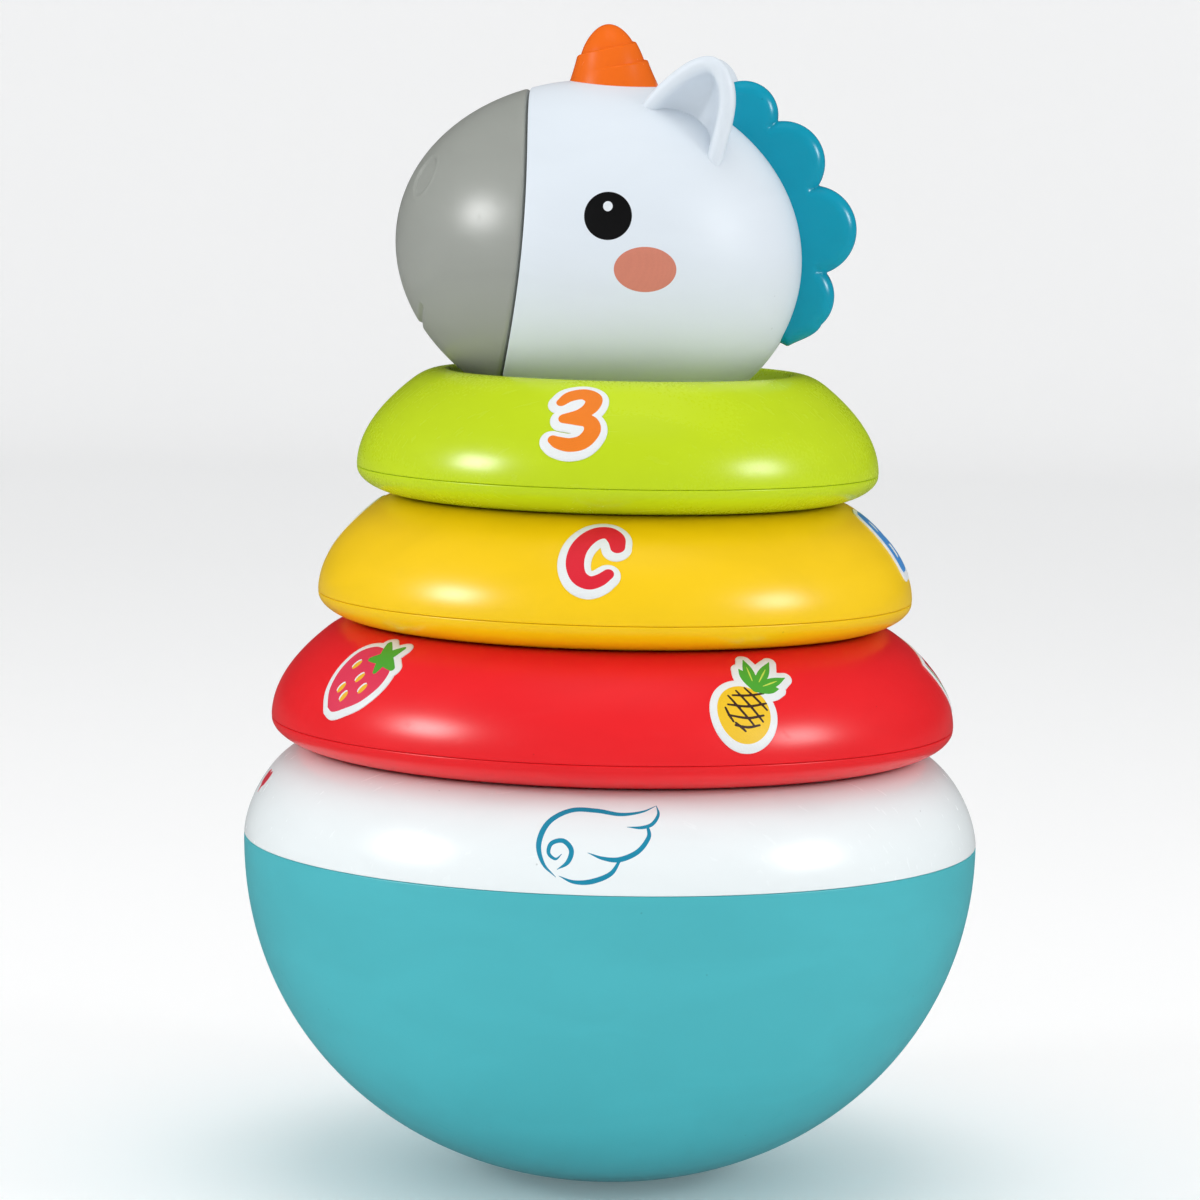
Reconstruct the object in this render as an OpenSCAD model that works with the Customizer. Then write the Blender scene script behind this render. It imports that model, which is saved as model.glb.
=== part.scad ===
// Wobbling stacking toy: a weighted round base with a post, three nesting rings
// and an animal head that all lift off.
// The origin is the centre of the small flat foot. +Z runs up the post and the
// animal looks along -X.

/* [Base] */
// Diameter of the base at its widest, at the seam of bowl and cover
base_d = 176.4; // [160:0.2:200]
// Height of that seam above the foot
seam_z = 81.5; // [76:0.5:82]
// Depth that the rounded bowl would have without its flat foot
bowl_depth = 82.7; // [82.5:0.1:86]
// Rise of the cover's seat above the seam
cover_rise = 21.6; // [19:0.1:25]
// Width of the cover's rounded shoulder
shoulder_w = 15.5; // [12:0.5:20]
// Wall of the bowl and the cover
base_wall = 2.6; // [2:0.1:3.2]

/* [Post] */
// Diameter of the post
post_d = 30; // [26:0.5:32]
// Height of the post's top above the foot
post_top = 206; // [200:1:210]

/* [Rings] */
// Stacking pitch, which is also the height of each ring
ring_pitch = 30.2; // [29:0.1:32]
// Diameter of the bottom ring
red_d = 164; // [150:0.5:170]
// Diameter of the middle ring
yellow_d = 142.6; // [130:0.2:150]
// Diameter of the top ring
green_d = 125; // [118:0.5:129]
// Height of the joint line of a ring's two shells above its underside
ring_seam_h = 6.8; // [6:0.1:8]
// Wall of the ring shells
ring_wall = 2.2; // [1.8:0.1:2.6]
// Radial play between a ring and the post
ring_play = 1; // [0.6:0.1:1.5]
// Diameter of the dish in each ring's top at its rim
dish_d = 82; // [78:0.5:82]
// Depth of the dish
dish_depth = 10; // [9:0.5:12]
// Diameter of the boss under each ring
boss_d = 70; // [64:0.5:71]
// Height of the boss, which nests in the dish below
boss_h = 8; // [6:0.5:9]

/* [Stickers] */
// Thickness of a sticker
sticker_t = 0.25; // [0.15:0.05:0.4]

/* [Head] */
// Diameter of the head
head_d = 82.5; // [78:0.5:86]
// Length of the head in front of its widest section
head_front = 52; // [48:0.5:56]
// Length of the head behind its widest section
head_back = 45.8; // [43:0.2:48]
// Upward tilt of the nose, degrees
head_tilt = 8.25; // [5:0.25:12]
// Wall of the head shells
head_wall = 2.4; // [2:0.1:2.8]
// Gap at the joint of the muzzle and the head shells
muzzle_gap = 0.6; // [0.4:0.1:0.8]
// Height of the horn above its seat
horn_h = 13.9; // [12:0.1:16]
// Radius of the horn at its seat
horn_r = 10.4; // [9:0.1:11]
// Thickness of the mane
mane_t = 11; // [9:0.5:12]
// Height of an ear above the middle of its foot
ear_h = 20.2; // [18:0.1:22]
// Half width of an ear
ear_r = 12.2; // [10.5:0.1:12.5]

/* [Fasteners] */
// Shank radius of the self-tapping screws
screw_r = 1.45; // [1.2:0.05:1.5]
// Radius of the screw heads
screw_head_r = 2.9; // [2.6:0.1:3.2]

/* [Hidden] */
$fn = 96;
base_r = base_d / 2;
post_r = post_d / 2;
post_wall = 2.4;
bowl_power = 2.077;
shoulder_power = 1.65;
seat_z = seam_z + cover_rise;
red_z = seat_z;
yellow_z = red_z + ring_pitch;
green_z = yellow_z + ring_pitch;
stack_top = green_z + ring_pitch;
bore_r = post_r + ring_play;
dish_r = dish_d / 2;
dish_floor_r = dish_r - 5;
rim_round = 1.5;
dish_slope = 33;       // the upper flank falls in by the square of the rise over this
lip_rise = 20.5;       // rise above the seam at which the flank turns into the lip
ring_base_w = 14;      // width of the rounded lower edge
head_r = head_d / 2;
head_x = -2.4;
head_z = 221.4;
muzzle_x = -25.34;     // the muzzle joint at mid height on the centre plane
muzzle_tilt = 4.48;
muzzle_sweep_r = 189;  // the joint sweeps back at the cheeks along this radius
neck_z = stack_top - dish_depth;
neck_top = neck_z + 3.6;
neck_r = 27;
neck_bore_r = post_r + 0.5;
neck_screw_r = 20.6;
ear_at = [12.5, -22.8, 250];
ear_turn = [0, 15, -21];
ear_wall = 3.9;
ear_peg_r = 1.5;
horn_at = [-3.3, 0, 262.2];
horn_lean = -5.5;
eps = 0.01;
fruit_step = 72;
fruit_start = -136.5;
letter_step = 90;
letter_start = -92;
number_step = 120;
number_start = -97.5;
sticker_rise = 20.6;   // height of a sticker's centre above its ring's underside
gap = 0.02;            // clearance under a sticker

// ---------- outlines ----------

// A quarter of a superellipse about a centre, from the side (angle 0) to the pole (angle 90)
function super_quarter(centre, rx, ry, power, steps) =
    [for (i = [0:steps]) let (a = 90 * i / steps)
        [centre[0] + rx * pow(cos(a), 2 / power), centre[1] + ry * pow(sin(a), 2 / power)]];

// The superellipse's radius at a depth below its widest section
function super_radius(r, depth, z, power) = r * pow(1 - pow(z / depth, power), 1 / power);

function reversed(points) = [for (i = [len(points) - 1:-1:0]) points[i]];

// The dish of a ring or of the cover, from its rim to its floor. Grow moves the wall outwards.
function dish_points(top, grow) = [
    for (i = [0:4]) let (a = 22.5 * i)
        [dish_r - grow + rim_round * (1 - sin(a)), top + grow - rim_round * (1 - cos(a))],
    [dish_floor_r + 1 - grow, top + grow - dish_depth + 2],
    [dish_floor_r - 1 - grow, top + grow - dish_depth]];

// The flank of a ring from the seam up to its lip, moved out by grow along its normal
function flank_point(r, z, u, grow) =
    let (lean = 2 * u / dish_slope, length = sqrt(1 + lean * lean))
    [r - u * u / dish_slope + grow / length, z + ring_seam_h + u + grow * lean / length];

function lip_point(r, z, t, grow) =
    let (foot = flank_point(r, z, lip_rise, grow),
         lean = 2 * lip_rise / dish_slope,
         crown = z + ring_pitch + grow,
         corner = [foot[0] - lean * (crown - foot[1]), crown],
         end = [max(corner[0] - 3.6, dish_r - grow + rim_round + 0.1), crown])
    foot * pow(1 - t, 2) + corner * 2 * t * (1 - t) + end * pow(t, 2);

// Half section of a whole ring standing at z, moved out by grow
function ring_outline(r, z, grow) = concat(
    [[bore_r - grow, z - boss_h - grow], [boss_d / 2 + grow, z - boss_h - grow], [boss_d / 2 + grow, z - grow]],
    reversed([for (p = super_quarter([0, 0], ring_base_w + grow, ring_seam_h + grow, 2, 8))
        [r - ring_base_w + p[0], z + ring_seam_h - p[1]]]),
    [for (i = [1:14]) flank_point(r, z, lip_rise * i / 14, grow)],
    [for (i = [1:5]) lip_point(r, z, i / 5, grow)],
    dish_points(z + ring_pitch, grow),
    [[bore_r - grow, z + ring_pitch - dish_depth + grow]]);

// ---------- base ----------

module bowl_section(inset) {
    r = base_r - inset;
    depth = bowl_depth - inset;
    difference() {
        polygon(concat([[0, seam_z]],
            [for (p = super_quarter([0, 0], r, depth, bowl_power, 30)) [p[0], seam_z - p[1]]]));
        translate([0, inset - 10])
            square([base_d, 10]);
    }
}

module ballast_bosses(r, z, top) {
    for (a = [0:120:240])
        rotate(a)
            translate([42, 0, z])
                cylinder(r = r, h = top - z);
}

module base_bowl() {
    color([0.31, 0.72, 0.76]) {
        rotate_extrude()
            difference() {
                bowl_section(0);
                bowl_section(base_wall);
            }
        // rib ring that carries the weight, and its three screw bosses
        difference() {
            translate([0, 0, base_wall - 0.5])
                cylinder(r = 21, h = 5 - base_wall + 0.5);
            cylinder(r = 18, h = 10);
        }
        difference() {
            intersection() {
                ballast_bosses(4.6, 2, 24);
                rotate_extrude()
                    bowl_section(1);
            }
            ballast_bosses(1.5, 12, 30);
        }
    }
}

module base_cover() {
    r = base_r;
    color([0.95, 0.96, 0.97])
        difference() {
            union() {
                rotate_extrude()
                    difference() {
                        polygon(concat([[0, seam_z]],
                            super_quarter([r - shoulder_w, seam_z], shoulder_w, cover_rise, shoulder_power, 16),
                            dish_points(seat_z, 0), [[0, seat_z - dish_depth]]));
                        polygon(concat([[0, seam_z]],
                            super_quarter([r - shoulder_w, seam_z], shoulder_w - base_wall,
                                cover_rise - base_wall, shoulder_power, 16),
                            dish_points(seat_z, -base_wall), [[0, seat_z - dish_depth - base_wall]]));
                    }
                // locating lip inside the bowl
                translate([0, 0, seam_z - 5])
                    difference() {
                        cylinder(r = r - base_wall - 0.3, h = 8);
                        translate([0, 0, -1])
                            cylinder(r = r - base_wall - 1.8, h = 10);
                    }
                post_bosses(3.8, 86.5, seat_z - dish_depth - 1);
            }
            translate([0, 0, seam_z])
                cylinder(r = post_r + 0.2, h = 40);
            post_bosses(1.5, 80, seat_z - dish_depth - 1);
        }
}

module post_bosses(r, z, top) {
    for (a = [45:90:315])
        rotate(a)
            translate([22, 0, z])
                cylinder(r = r, h = top - z);
}

module ballast_weight() {
    color([0.25, 0.25, 0.27])
        rotate_extrude()
            polygon([[0, 5], [24, 5], [34, 10], [34, 21], [33, 22], [0, 22]]);
}

module ballast_clamp() {
    color([0.2, 0.2, 0.22])
        difference() {
            union() {
                translate([0, 0, 22])
                    cylinder(r = 34.6, h = 4.2);
                for (a = [0:120:240])
                    rotate(a)
                        translate([20, -5, 24])
                            cube([22, 10, 2.2]);
                ballast_bosses(5, 24, 26.2);
            }
            translate([0, 0, 20])
                cylinder(r = 24, h = 10);
            ballast_bosses(1.8, 20, 30);
        }
}

// Pan-head screw with a cross recess, head down, standing on the point where its head seats
module screw_up(length) {
    difference() {
        union() {
            translate([0, 0, -1.8])
                cylinder(r = screw_head_r, h = 1.8);
            cylinder(r = screw_r, h = length);
        }
        for (a = [0, 90])
            rotate(a)
                translate([-1.6, -0.35, -1.8 - eps])
                    cube([3.2, 0.7, 0.9]);
    }
}

module ballast_screws() {
    color("silver")
        for (a = [0:120:240])
            rotate(a)
                translate([42, 0, 26.2])
                    mirror([0, 0, 1])
                        screw_up(12);
}

module stacking_post() {
    dome = 9;
    color([0.94, 0.95, 0.96])
        difference() {
            union() {
                rotate_extrude()
                    difference() {
                        polygon(concat([[0, 84]], [[post_r, 84]],
                            super_quarter([0, post_top - dome], post_r, dome, 2, 12)));
                        polygon(concat([[0, 80]], [[post_r - post_wall, 80]],
                            super_quarter([0, post_top - dome], post_r - post_wall, dome - post_wall, 2, 12)));
                    }
                // flange under the cover
                translate([0, 0, 84])
                    difference() {
                        cylinder(r = 27, h = 2.5);
                        translate([0, 0, -1])
                            cylinder(r = post_r - 1, h = 5);
                    }
            }
            post_bosses(1.8, 80, 90);
        }
}

module post_screws() {
    color("silver")
        for (a = [45:90:315])
            rotate(a)
                translate([22, 0, 84])
                    screw_up(7.5);
}

// ---------- rings ----------

module ring_half(r, z, upper) {
    tube_r = bore_r + ring_wall;
    split = z + ring_seam_h;
    rotate_extrude()
        intersection() {
            difference() {
                polygon(ring_outline(r, z, 0));
                polygon(ring_outline(r, z, -ring_wall));
            }
            if (upper)
                union() {
                    translate([0, split])
                        square([r + 1, ring_pitch]);
                    translate([0, z - boss_h + ring_wall])
                        square([tube_r, ring_pitch]);
                }
            else
                difference() {
                    translate([0, z - boss_h - 1])
                        square([r + 1, boss_h + ring_seam_h + 1]);
                    translate([0, z - boss_h + ring_wall])
                        square([tube_r, ring_pitch]);
                }
        }
    // tongue that locates the upper shell
    if (!upper)
        translate([0, 0, split - 3.2])
            difference() {
                cylinder(r = r - ring_wall - 0.35, h = 5.6);
                translate([0, 0, -1])
                    cylinder(r = r - ring_wall - 1.6, h = 8);
            }
}

module red_ring_upper() { color([0.91, 0.13, 0.15]) ring_half(red_d / 2, red_z, true); }
module red_ring_lower() { color([0.91, 0.13, 0.15]) ring_half(red_d / 2, red_z, false); }
module yellow_ring_upper() { color([0.96, 0.8, 0.03]) ring_half(yellow_d / 2, yellow_z, true); }
module yellow_ring_lower() { color([0.96, 0.8, 0.03]) ring_half(yellow_d / 2, yellow_z, false); }
module green_ring_upper() { color([0.71, 0.84, 0.12]) ring_half(green_d / 2, green_z, true); }
module green_ring_lower() { color([0.71, 0.84, 0.12]) ring_half(green_d / 2, green_z, false); }

// ---------- stickers ----------

// Thin skin over a ring's flank and lip, between two distances from its surface
module flank_skin(r, z) {
    rotate_extrude()
        polygon(concat(
            [for (i = [0:14]) flank_point(r, z, lip_rise * i / 14, gap + sticker_t)],
            [for (i = [1:4]) lip_point(r, z, i / 5, gap + sticker_t)],
            [for (i = [4:-1:1]) lip_point(r, z, i / 5, gap)],
            [for (i = [14:-1:0]) flank_point(r, z, lip_rise * i / 14, gap)]));
}

// A sticker cut from the skin by the outline given as a child, in the plane facing outwards
module sticker(r, z, az) {
    intersection() {
        flank_skin(r, z);
        rotate(az)
            translate([r / 2, 0, z + sticker_rise])
                rotate([90, 0, 90])
                    linear_extrude(height = r)
                        children();
    }
}

module round_tag(w, h, tilt) {
    rotate(tilt)
        union() {
            translate([0, (h - w) / 2])
                circle(r = w / 2);
            translate([0, -(h - w) / 2])
                circle(r = w / 2);
            square([w, h - w], center = true);
        }
}

module fruit(i, tint) {
    color(tint)
        sticker(red_d / 2, red_z, fruit_start + fruit_step * i)
            children();
}

module letter(i, tint) {
    color(tint)
        sticker(yellow_d / 2, yellow_z, letter_start + letter_step * i)
            round_tag(14.5, 16, -12);
}

module number(i, tint) {
    color(tint)
        sticker(green_d / 2, green_z, number_start + number_step * i)
            round_tag(13.5, 16, -12);
}

module sticker_strawberry() { fruit(0, [0.9, 0.2, 0.3]) round_tag(18, 24.5, -31); }
module sticker_pineapple() { fruit(1, [0.95, 0.75, 0.1]) round_tag(17.5, 25.5, -25); }
module sticker_melon() { fruit(2, [0.3, 0.7, 0.3]) round_tag(18, 24, 84); }
module sticker_apple() { fruit(3, [0.55, 0.8, 0.2]) round_tag(16, 18, 0); }
module sticker_orange() { fruit(4, [0.95, 0.55, 0.1]) round_tag(16, 17.5, 10); }
module sticker_c() { letter(0, [0.86, 0.1, 0.2]); }
module sticker_b() { letter(1, [0.1, 0.5, 0.85]); }
module sticker_a() { letter(2, [0.95, 0.5, 0.15]); }
module sticker_d() { letter(3, [0.3, 0.65, 0.25]); }
module sticker_three() { number(0, [0.95, 0.45, 0.1]); }
module sticker_two() { number(1, [0.1, 0.5, 0.85]); }
module sticker_one() { number(2, [0.86, 0.1, 0.2]); }

// ---------- head ----------

// The egg that shapes the head, grown by a distance
module egg(grow) {
    translate([head_x, 0, head_z])
        rotate([0, head_tilt, 0])
            rotate([0, 90, 0])
                rotate_extrude()
                    polygon([for (i = [-90:5:90])
                        [(head_r + grow) * cos(i), ((i < 0 ? head_front : head_back) + grow) * sin(i)]]);
}

// Everything behind the muzzle's swept joint, which moves forward by shift
module behind_joint(shift) {
    translate([muzzle_x + muzzle_sweep_r, 0, head_z])
        rotate([0, muzzle_tilt, 0])
            cylinder(r = muzzle_sweep_r + shift, h = 120, center = true, $fn = 240);
}

// The sector that the mane's tongue fills between the two head shells
module mane_sector(thickness) {
    rotate([90, 0, 0])
        linear_extrude(height = thickness, center = true)
            polygon([[8, 226], [24, 262], [60, 262], [60, 203], [36, 204]]);
}

module neck_bosses(r, z, top) {
    for (a = [35, 145, 215, 325])
        rotate(a)
            translate([neck_screw_r, 0, z])
                cylinder(r = r, h = top - z);
}

module head_shell(side) {
    color([0.95, 0.96, 0.97])
        difference() {
            union() {
                difference() {
                    intersection() {
                        egg(0);
                        behind_joint(-muzzle_gap / 2);
                    }
                    egg(-head_wall);
                }
                // screw bosses for the neck
                intersection() {
                    neck_bosses(3.6, neck_top, neck_top + 12);
                    egg(-1);
                }
            }
            translate([-100, side > 0 ? -100 : 0, 100])
                cube([200, 100, 200]);
            translate([-100, -100, neck_top - 20])
                cube([200, 200, 20]);
            translate([0, 0, neck_top - 1])
                cylinder(r = post_r + 3.1, h = 20);
            neck_bosses(1.5, neck_top - 1, neck_top + 9);
            mane_sector(6.3);
            horn_frame()
                translate([0, 0, -20])
                    cylinder(r = 6.2, h = 40);
            ear_frame(side)
                translate([0, ear_r - ear_wall / 2, -20])
                    cylinder(r = ear_peg_r + 0.2, h = 32);
        }
}

module head_shell_left() { head_shell(-1); }
module head_shell_right() { head_shell(1); }

module muzzle() {
    color([0.61, 0.63, 0.6])
        union() {
            difference() {
                egg(0);
                egg(-head_wall);
                behind_joint(muzzle_gap / 2);
                translate([-100, -100, neck_top - 20])
                    cube([200, 200, 20]);
                translate([0, 0, neck_top - 1])
                    cylinder(r = post_r + 3.1, h = 8);
            }
            // lip that plugs into the head shells
            difference() {
                intersection() {
                    egg(-head_wall - 0.15);
                    behind_joint(4);
                }
                egg(-head_wall - 1.8);
                behind_joint(-4);
                translate([-100, -100, neck_top - 20])
                    cube([200, 200, 24]);
            }
            difference() {
                intersection() {
                    egg(-head_wall + 0.5);
                    behind_joint(4);
                }
                egg(-head_wall - 1.8);
                behind_joint(1.2);
                translate([-100, -100, neck_top - 20])
                    cube([200, 200, 24]);
            }
        }
}

module horn_frame() {
    translate(horn_at)
        rotate([0, horn_lean, 0])
            children();
}

// One rounded tier of the horn, from height z0 to z1, bulging to radius r0 and ending at r1
function horn_tier(z0, z1, r0, r1) =
    [for (i = [0:4]) let (a = 90 * i / 4) [r1 + (r0 - r1) * cos(a), z0 + (z1 - z0) * sin(a)]];

module horn() {
    color([0.94, 0.47, 0.11])
        difference() {
            horn_frame()
                rotate_extrude()
                    polygon(concat(
                        [[0, -9], [8.6, -9], [8.6, -7.4], [6, -7.4], [6, -2], [horn_r, -2]],
                        horn_tier(0, horn_h * 0.31, horn_r, horn_r * 0.88),
                        horn_tier(horn_h * 0.33, horn_h * 0.58, horn_r * 0.84, horn_r * 0.68),
                        horn_tier(horn_h * 0.6, horn_h, horn_r * 0.63, 0)));
            intersection() {
                egg(0);
                difference() {
                    horn_frame()
                        translate([0, 0, -6])
                            cylinder(r = 40, h = 12);
                    horn_frame()
                        translate([0, 0, -20])
                            cylinder(r = 6, h = 40);
                }
            }
        }
}

module ear_frame(side) {
    mirror([0, side > 0 ? 1 : 0, 0])
        translate(ear_at)
            rotate(ear_turn)
                children();
}

module ear_dome(r, top) {
    rotate_extrude()
        polygon(concat([[0, -14], [r, -14]], super_quarter([0, 6], r, top - 6, 2, 8)));
}

module ear(side) {
    color([0.95, 0.96, 0.97])
        union() {
            difference() {
                ear_frame(side)
                    difference() {
                        ear_dome(ear_r, ear_h);
                        ear_dome(ear_r - ear_wall, ear_h - ear_wall);
                        translate([-20, -40, -20])
                            cube([40, 40, 60]);
                    }
                egg(0.02);
            }
            // peg through the head shell
            difference() {
                ear_frame(side)
                    translate([0, ear_r - ear_wall / 2, -8])
                        cylinder(r = ear_peg_r, h = 18);
                egg(-head_wall - 3);
            }
        }
}

module ear_left() { ear(-1); }
module ear_right() { ear(1); }

module mane() {
    color([0, 0.59, 0.7])
        union() {
            difference() {
                rotate([90, 0, 0])
                    linear_extrude(height = mane_t, center = true)
                        union() {
                            translate([28.3, 255.2]) circle(r = 8.1);
                            translate([37.8, 244]) circle(r = 10);
                            translate([45.1, 228.3]) circle(r = 10.6);
                            translate([41.9, 212.5]) circle(r = 8.9);
                            polygon([[25, 250], [28.3, 255.2], [37.8, 244], [45.1, 228.3], [41.9, 212.5],
                                [47.2, 205.4], [38.5, 200.7], [32, 206], [30, 230]]);
                        }
                egg(0.02);
            }
            intersection() {
                mane_sector(6);
                difference() {
                    egg(0.5);
                    egg(-head_wall - 2);
                }
            }
        }
}

module neck_socket() {
    tube_top = post_top + 5;
    color([0.94, 0.95, 0.96])
        difference() {
            union() {
                translate([0, 0, neck_z])
                    cylinder(r = neck_r, h = 2);
                translate([0, 0, neck_z])
                    cylinder(r = 24.5, h = neck_top - neck_z);
                translate([0, 0, neck_z])
                    cylinder(r = post_r + 2.7, h = tube_top - neck_z);
            }
            translate([0, 0, neck_z - 1])
                cylinder(r = neck_bore_r, h = tube_top - neck_z - 1);
            neck_bosses(1.8, neck_z - 1, neck_top + 1);
            neck_bosses(3.2, neck_z - 1, neck_z + 1.9);
        }
}

module neck_screws() {
    color("silver")
        neck_screw_places()
            screw_up(9);
}

module neck_screw_places() {
    for (a = [35, 145, 215, 325])
        rotate(a)
            translate([neck_screw_r, 0, neck_z + 1.9])
                children();
}

base_bowl();
base_cover();
ballast_weight();
ballast_clamp();
ballast_screws();
stacking_post();
post_screws();
red_ring_upper();
red_ring_lower();
yellow_ring_upper();
yellow_ring_lower();
green_ring_upper();
green_ring_lower();
sticker_strawberry();
sticker_pineapple();
sticker_melon();
sticker_apple();
sticker_orange();
sticker_c();
sticker_b();
sticker_a();
sticker_d();
sticker_three();
sticker_two();
sticker_one();
head_shell_left();
head_shell_right();
muzzle();
horn();
ear_left();
ear_right();
mane();
neck_socket();
neck_screws();
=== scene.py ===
"""Wobbling stacking toy: a weighted round base with a post, three nesting rings and an animal head.

All sizes are in millimetres, measured from the centre of the flat foot. +Z runs up the post, the
animal looks along -X, and its left side is towards -Y.
"""

import math

import bmesh
import bpy
import numpy as np
from mathutils import Matrix, Vector
from mathutils.geometry import delaunay_2d_cdt


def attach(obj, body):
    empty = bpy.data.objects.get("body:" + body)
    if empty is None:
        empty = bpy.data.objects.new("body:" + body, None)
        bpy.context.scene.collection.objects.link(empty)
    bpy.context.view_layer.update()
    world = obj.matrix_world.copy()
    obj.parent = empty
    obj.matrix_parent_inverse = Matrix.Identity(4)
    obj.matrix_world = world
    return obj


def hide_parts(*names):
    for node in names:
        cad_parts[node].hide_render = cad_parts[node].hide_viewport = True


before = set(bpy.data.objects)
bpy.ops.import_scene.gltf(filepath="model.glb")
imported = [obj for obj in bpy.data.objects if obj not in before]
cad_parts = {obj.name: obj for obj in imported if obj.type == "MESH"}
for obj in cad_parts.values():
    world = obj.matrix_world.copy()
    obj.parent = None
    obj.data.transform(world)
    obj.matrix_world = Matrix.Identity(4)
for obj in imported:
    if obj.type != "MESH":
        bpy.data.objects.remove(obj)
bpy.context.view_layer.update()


# ---------- floor, light and camera ----------
# A pale floor, a soft box on each side of the camera, one large one overhead, and an even white
# surround that the gloss of the plastic picks up.


class Wire:
    """One socket of a node tree. Sums on wires add the Math nodes that work them out."""

    def __init__(self, tree, socket):
        self.tree = tree
        self.socket = socket

    def node(self, kind, sockets, out=0, **settings):
        made = self.tree.nodes.new(kind)
        for name, value in settings.items():
            setattr(made, name, value)
        for key, value in sockets.items():
            if isinstance(value, Wire):
                self.tree.links.new(value.socket, made.inputs[key])
            else:
                made.inputs[key].default_value = value
        return Wire(self.tree, made.outputs[out])

    def sum(self, operation, first, second):
        return self.node("ShaderNodeMath", {0: first, 1: second}, operation=operation)

    def __add__(self, other):
        return self.sum("ADD", self, other)

    __radd__ = __add__

    def __sub__(self, other):
        return self.sum("SUBTRACT", self, other)

    def __rsub__(self, other):
        return self.sum("SUBTRACT", other, self)

    def __mul__(self, other):
        return self.sum("MULTIPLY", self, other)

    __rmul__ = __mul__

    def __truediv__(self, other):
        return self.sum("DIVIDE", self, other)

    def floor(self):
        return self.sum("FLOOR", self, 0.0)

    def between(self, low, high):
        """0 below low, 1 above high, and smooth between them."""
        sockets = {"Value": self, "From Min": low, "From Max": high}
        return self.node("ShaderNodeMapRange", sockets, interpolation_type="SMOOTHSTEP")

    def blend(self, first, second):
        """The first colour where this wire is 0 and the second where it is 1."""
        return self.node("ShaderNodeMix", {0: self, 6: first, 7: second}, out=2, data_type="RGBA")

    def noise(self, scale, detail, **more):
        """Soft random clouds, read at the position on this wire."""
        return self.node("ShaderNodeTexNoise", {"Vector": self, "Scale": scale, "Detail": detail, **more})

    def as_normal(self):
        """The slopes of a skin that stands as high as this wire, in millimetres."""
        return self.node("ShaderNodeBump", {"Strength": 1.0, "Distance": 0.001, "Height": self})


def new_material(name):
    """A material with its surface shader, and the wire of its object coordinates."""
    material = bpy.data.materials.new(name)
    material.use_nodes = True
    tree = material.node_tree
    surface = tree.nodes["Principled BSDF"]
    place = Wire(tree, tree.nodes.new("ShaderNodeTexCoord").outputs["Object"])
    return material, surface, place


def connect(surface, **wires):
    """Links wires to the shader's sockets; Base_Color stands for Base Color."""
    for name, wire in wires.items():
        wire.tree.links.new(wire.socket, surface.inputs[name.replace("_", " ")])


def pale_floor():
    material, surface, place = new_material("pale_floor")
    cloud = place.noise(3.0, 2.0)
    connect(surface, Base_Color=cloud.blend((0.93, 0.935, 0.94, 1), (0.945, 0.95, 0.955, 1)))
    surface.inputs["Roughness"].default_value = 0.6
    surface.inputs["Specular IOR Level"].default_value = 0.2
    surface.inputs["Emission Color"].default_value = (1, 1, 1, 1)
    surface.inputs["Emission Strength"].default_value = 0.1
    return material


floor_level = -0.0002
floor_r = 2.2
bend_r = 0.8
wall_top = 1.4
sweep = [(0.0, floor_level), (0.3, floor_level), (floor_r, floor_level)]
for a in np.radians(np.linspace(10, 90, 9)):
    sweep.append((floor_r + bend_r * math.sin(a), bend_r - bend_r * math.cos(a)))
sweep.append((floor_r + bend_r, wall_top))
around = np.radians(np.arange(0, 360, 5))
floor_points = [(r * math.cos(a), r * math.sin(a), z) for r, z in sweep for a in around]
floor_faces = []
for i in range(len(sweep) - 1):
    near = len(around) * i
    far = near + len(around)
    for k in range(len(around)):
        after = (k + 1) % len(around)
        floor_faces.append((near + k, near + after, far + after, far + k))
floor_mesh = bpy.data.meshes.new("floor")
floor_mesh.from_pydata(floor_points, [], floor_faces)
floor_mesh.materials.append(pale_floor())
floor_mesh.polygons.foreach_set("use_smooth", [True] * len(floor_mesh.polygons))
floor = bpy.data.objects.new("floor", floor_mesh)
floor.visible_glossy = False
bpy.context.scene.collection.objects.link(floor)

camera_turn = 3.0
toy_middle = 0.15


def soft_box(name, azimuth, elevation, distance, width, height, power, glossy=True, diffuse=True):
    """A square studio light on a stand, aimed at the toy. Azimuth is measured from the camera."""
    lamp = bpy.data.lights.new(name, "AREA")
    lamp.shape = "RECTANGLE"
    lamp.size = width
    lamp.size_y = height
    lamp.energy = power
    a = math.radians(camera_turn - 90 + azimuth)
    e = math.radians(elevation)
    aim = Vector((0, 0, toy_middle))
    spot = aim + distance * Vector((math.cos(a) * math.cos(e), math.sin(a) * math.cos(e), math.sin(e)))
    stand = bpy.data.objects.new(name, lamp)
    stand.location = spot
    stand.rotation_euler = (aim - spot).to_track_quat("-Z", "Y").to_euler()
    stand.visible_glossy = glossy
    stand.visible_diffuse = diffuse
    if not diffuse:
        lamp.cycles.max_bounces = 0
    bpy.context.scene.collection.objects.link(stand)


soft_box("left_box", -66, 24, 1.2, 0.26, 0.24, 1.8, glossy=False)
soft_box("right_box", 66, 24, 1.2, 0.26, 0.24, 1.5, glossy=False)
soft_box("left_glint", -66, 22.5, 1.2, 0.36, 0.3, 11.0, diffuse=False)
soft_box("right_glint", 66, 22.5, 1.2, 0.36, 0.3, 7.5, diffuse=False)
soft_box("top_box", 0, 85, 1.4, 0.9, 0.9, 4.6, glossy=False)

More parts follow.
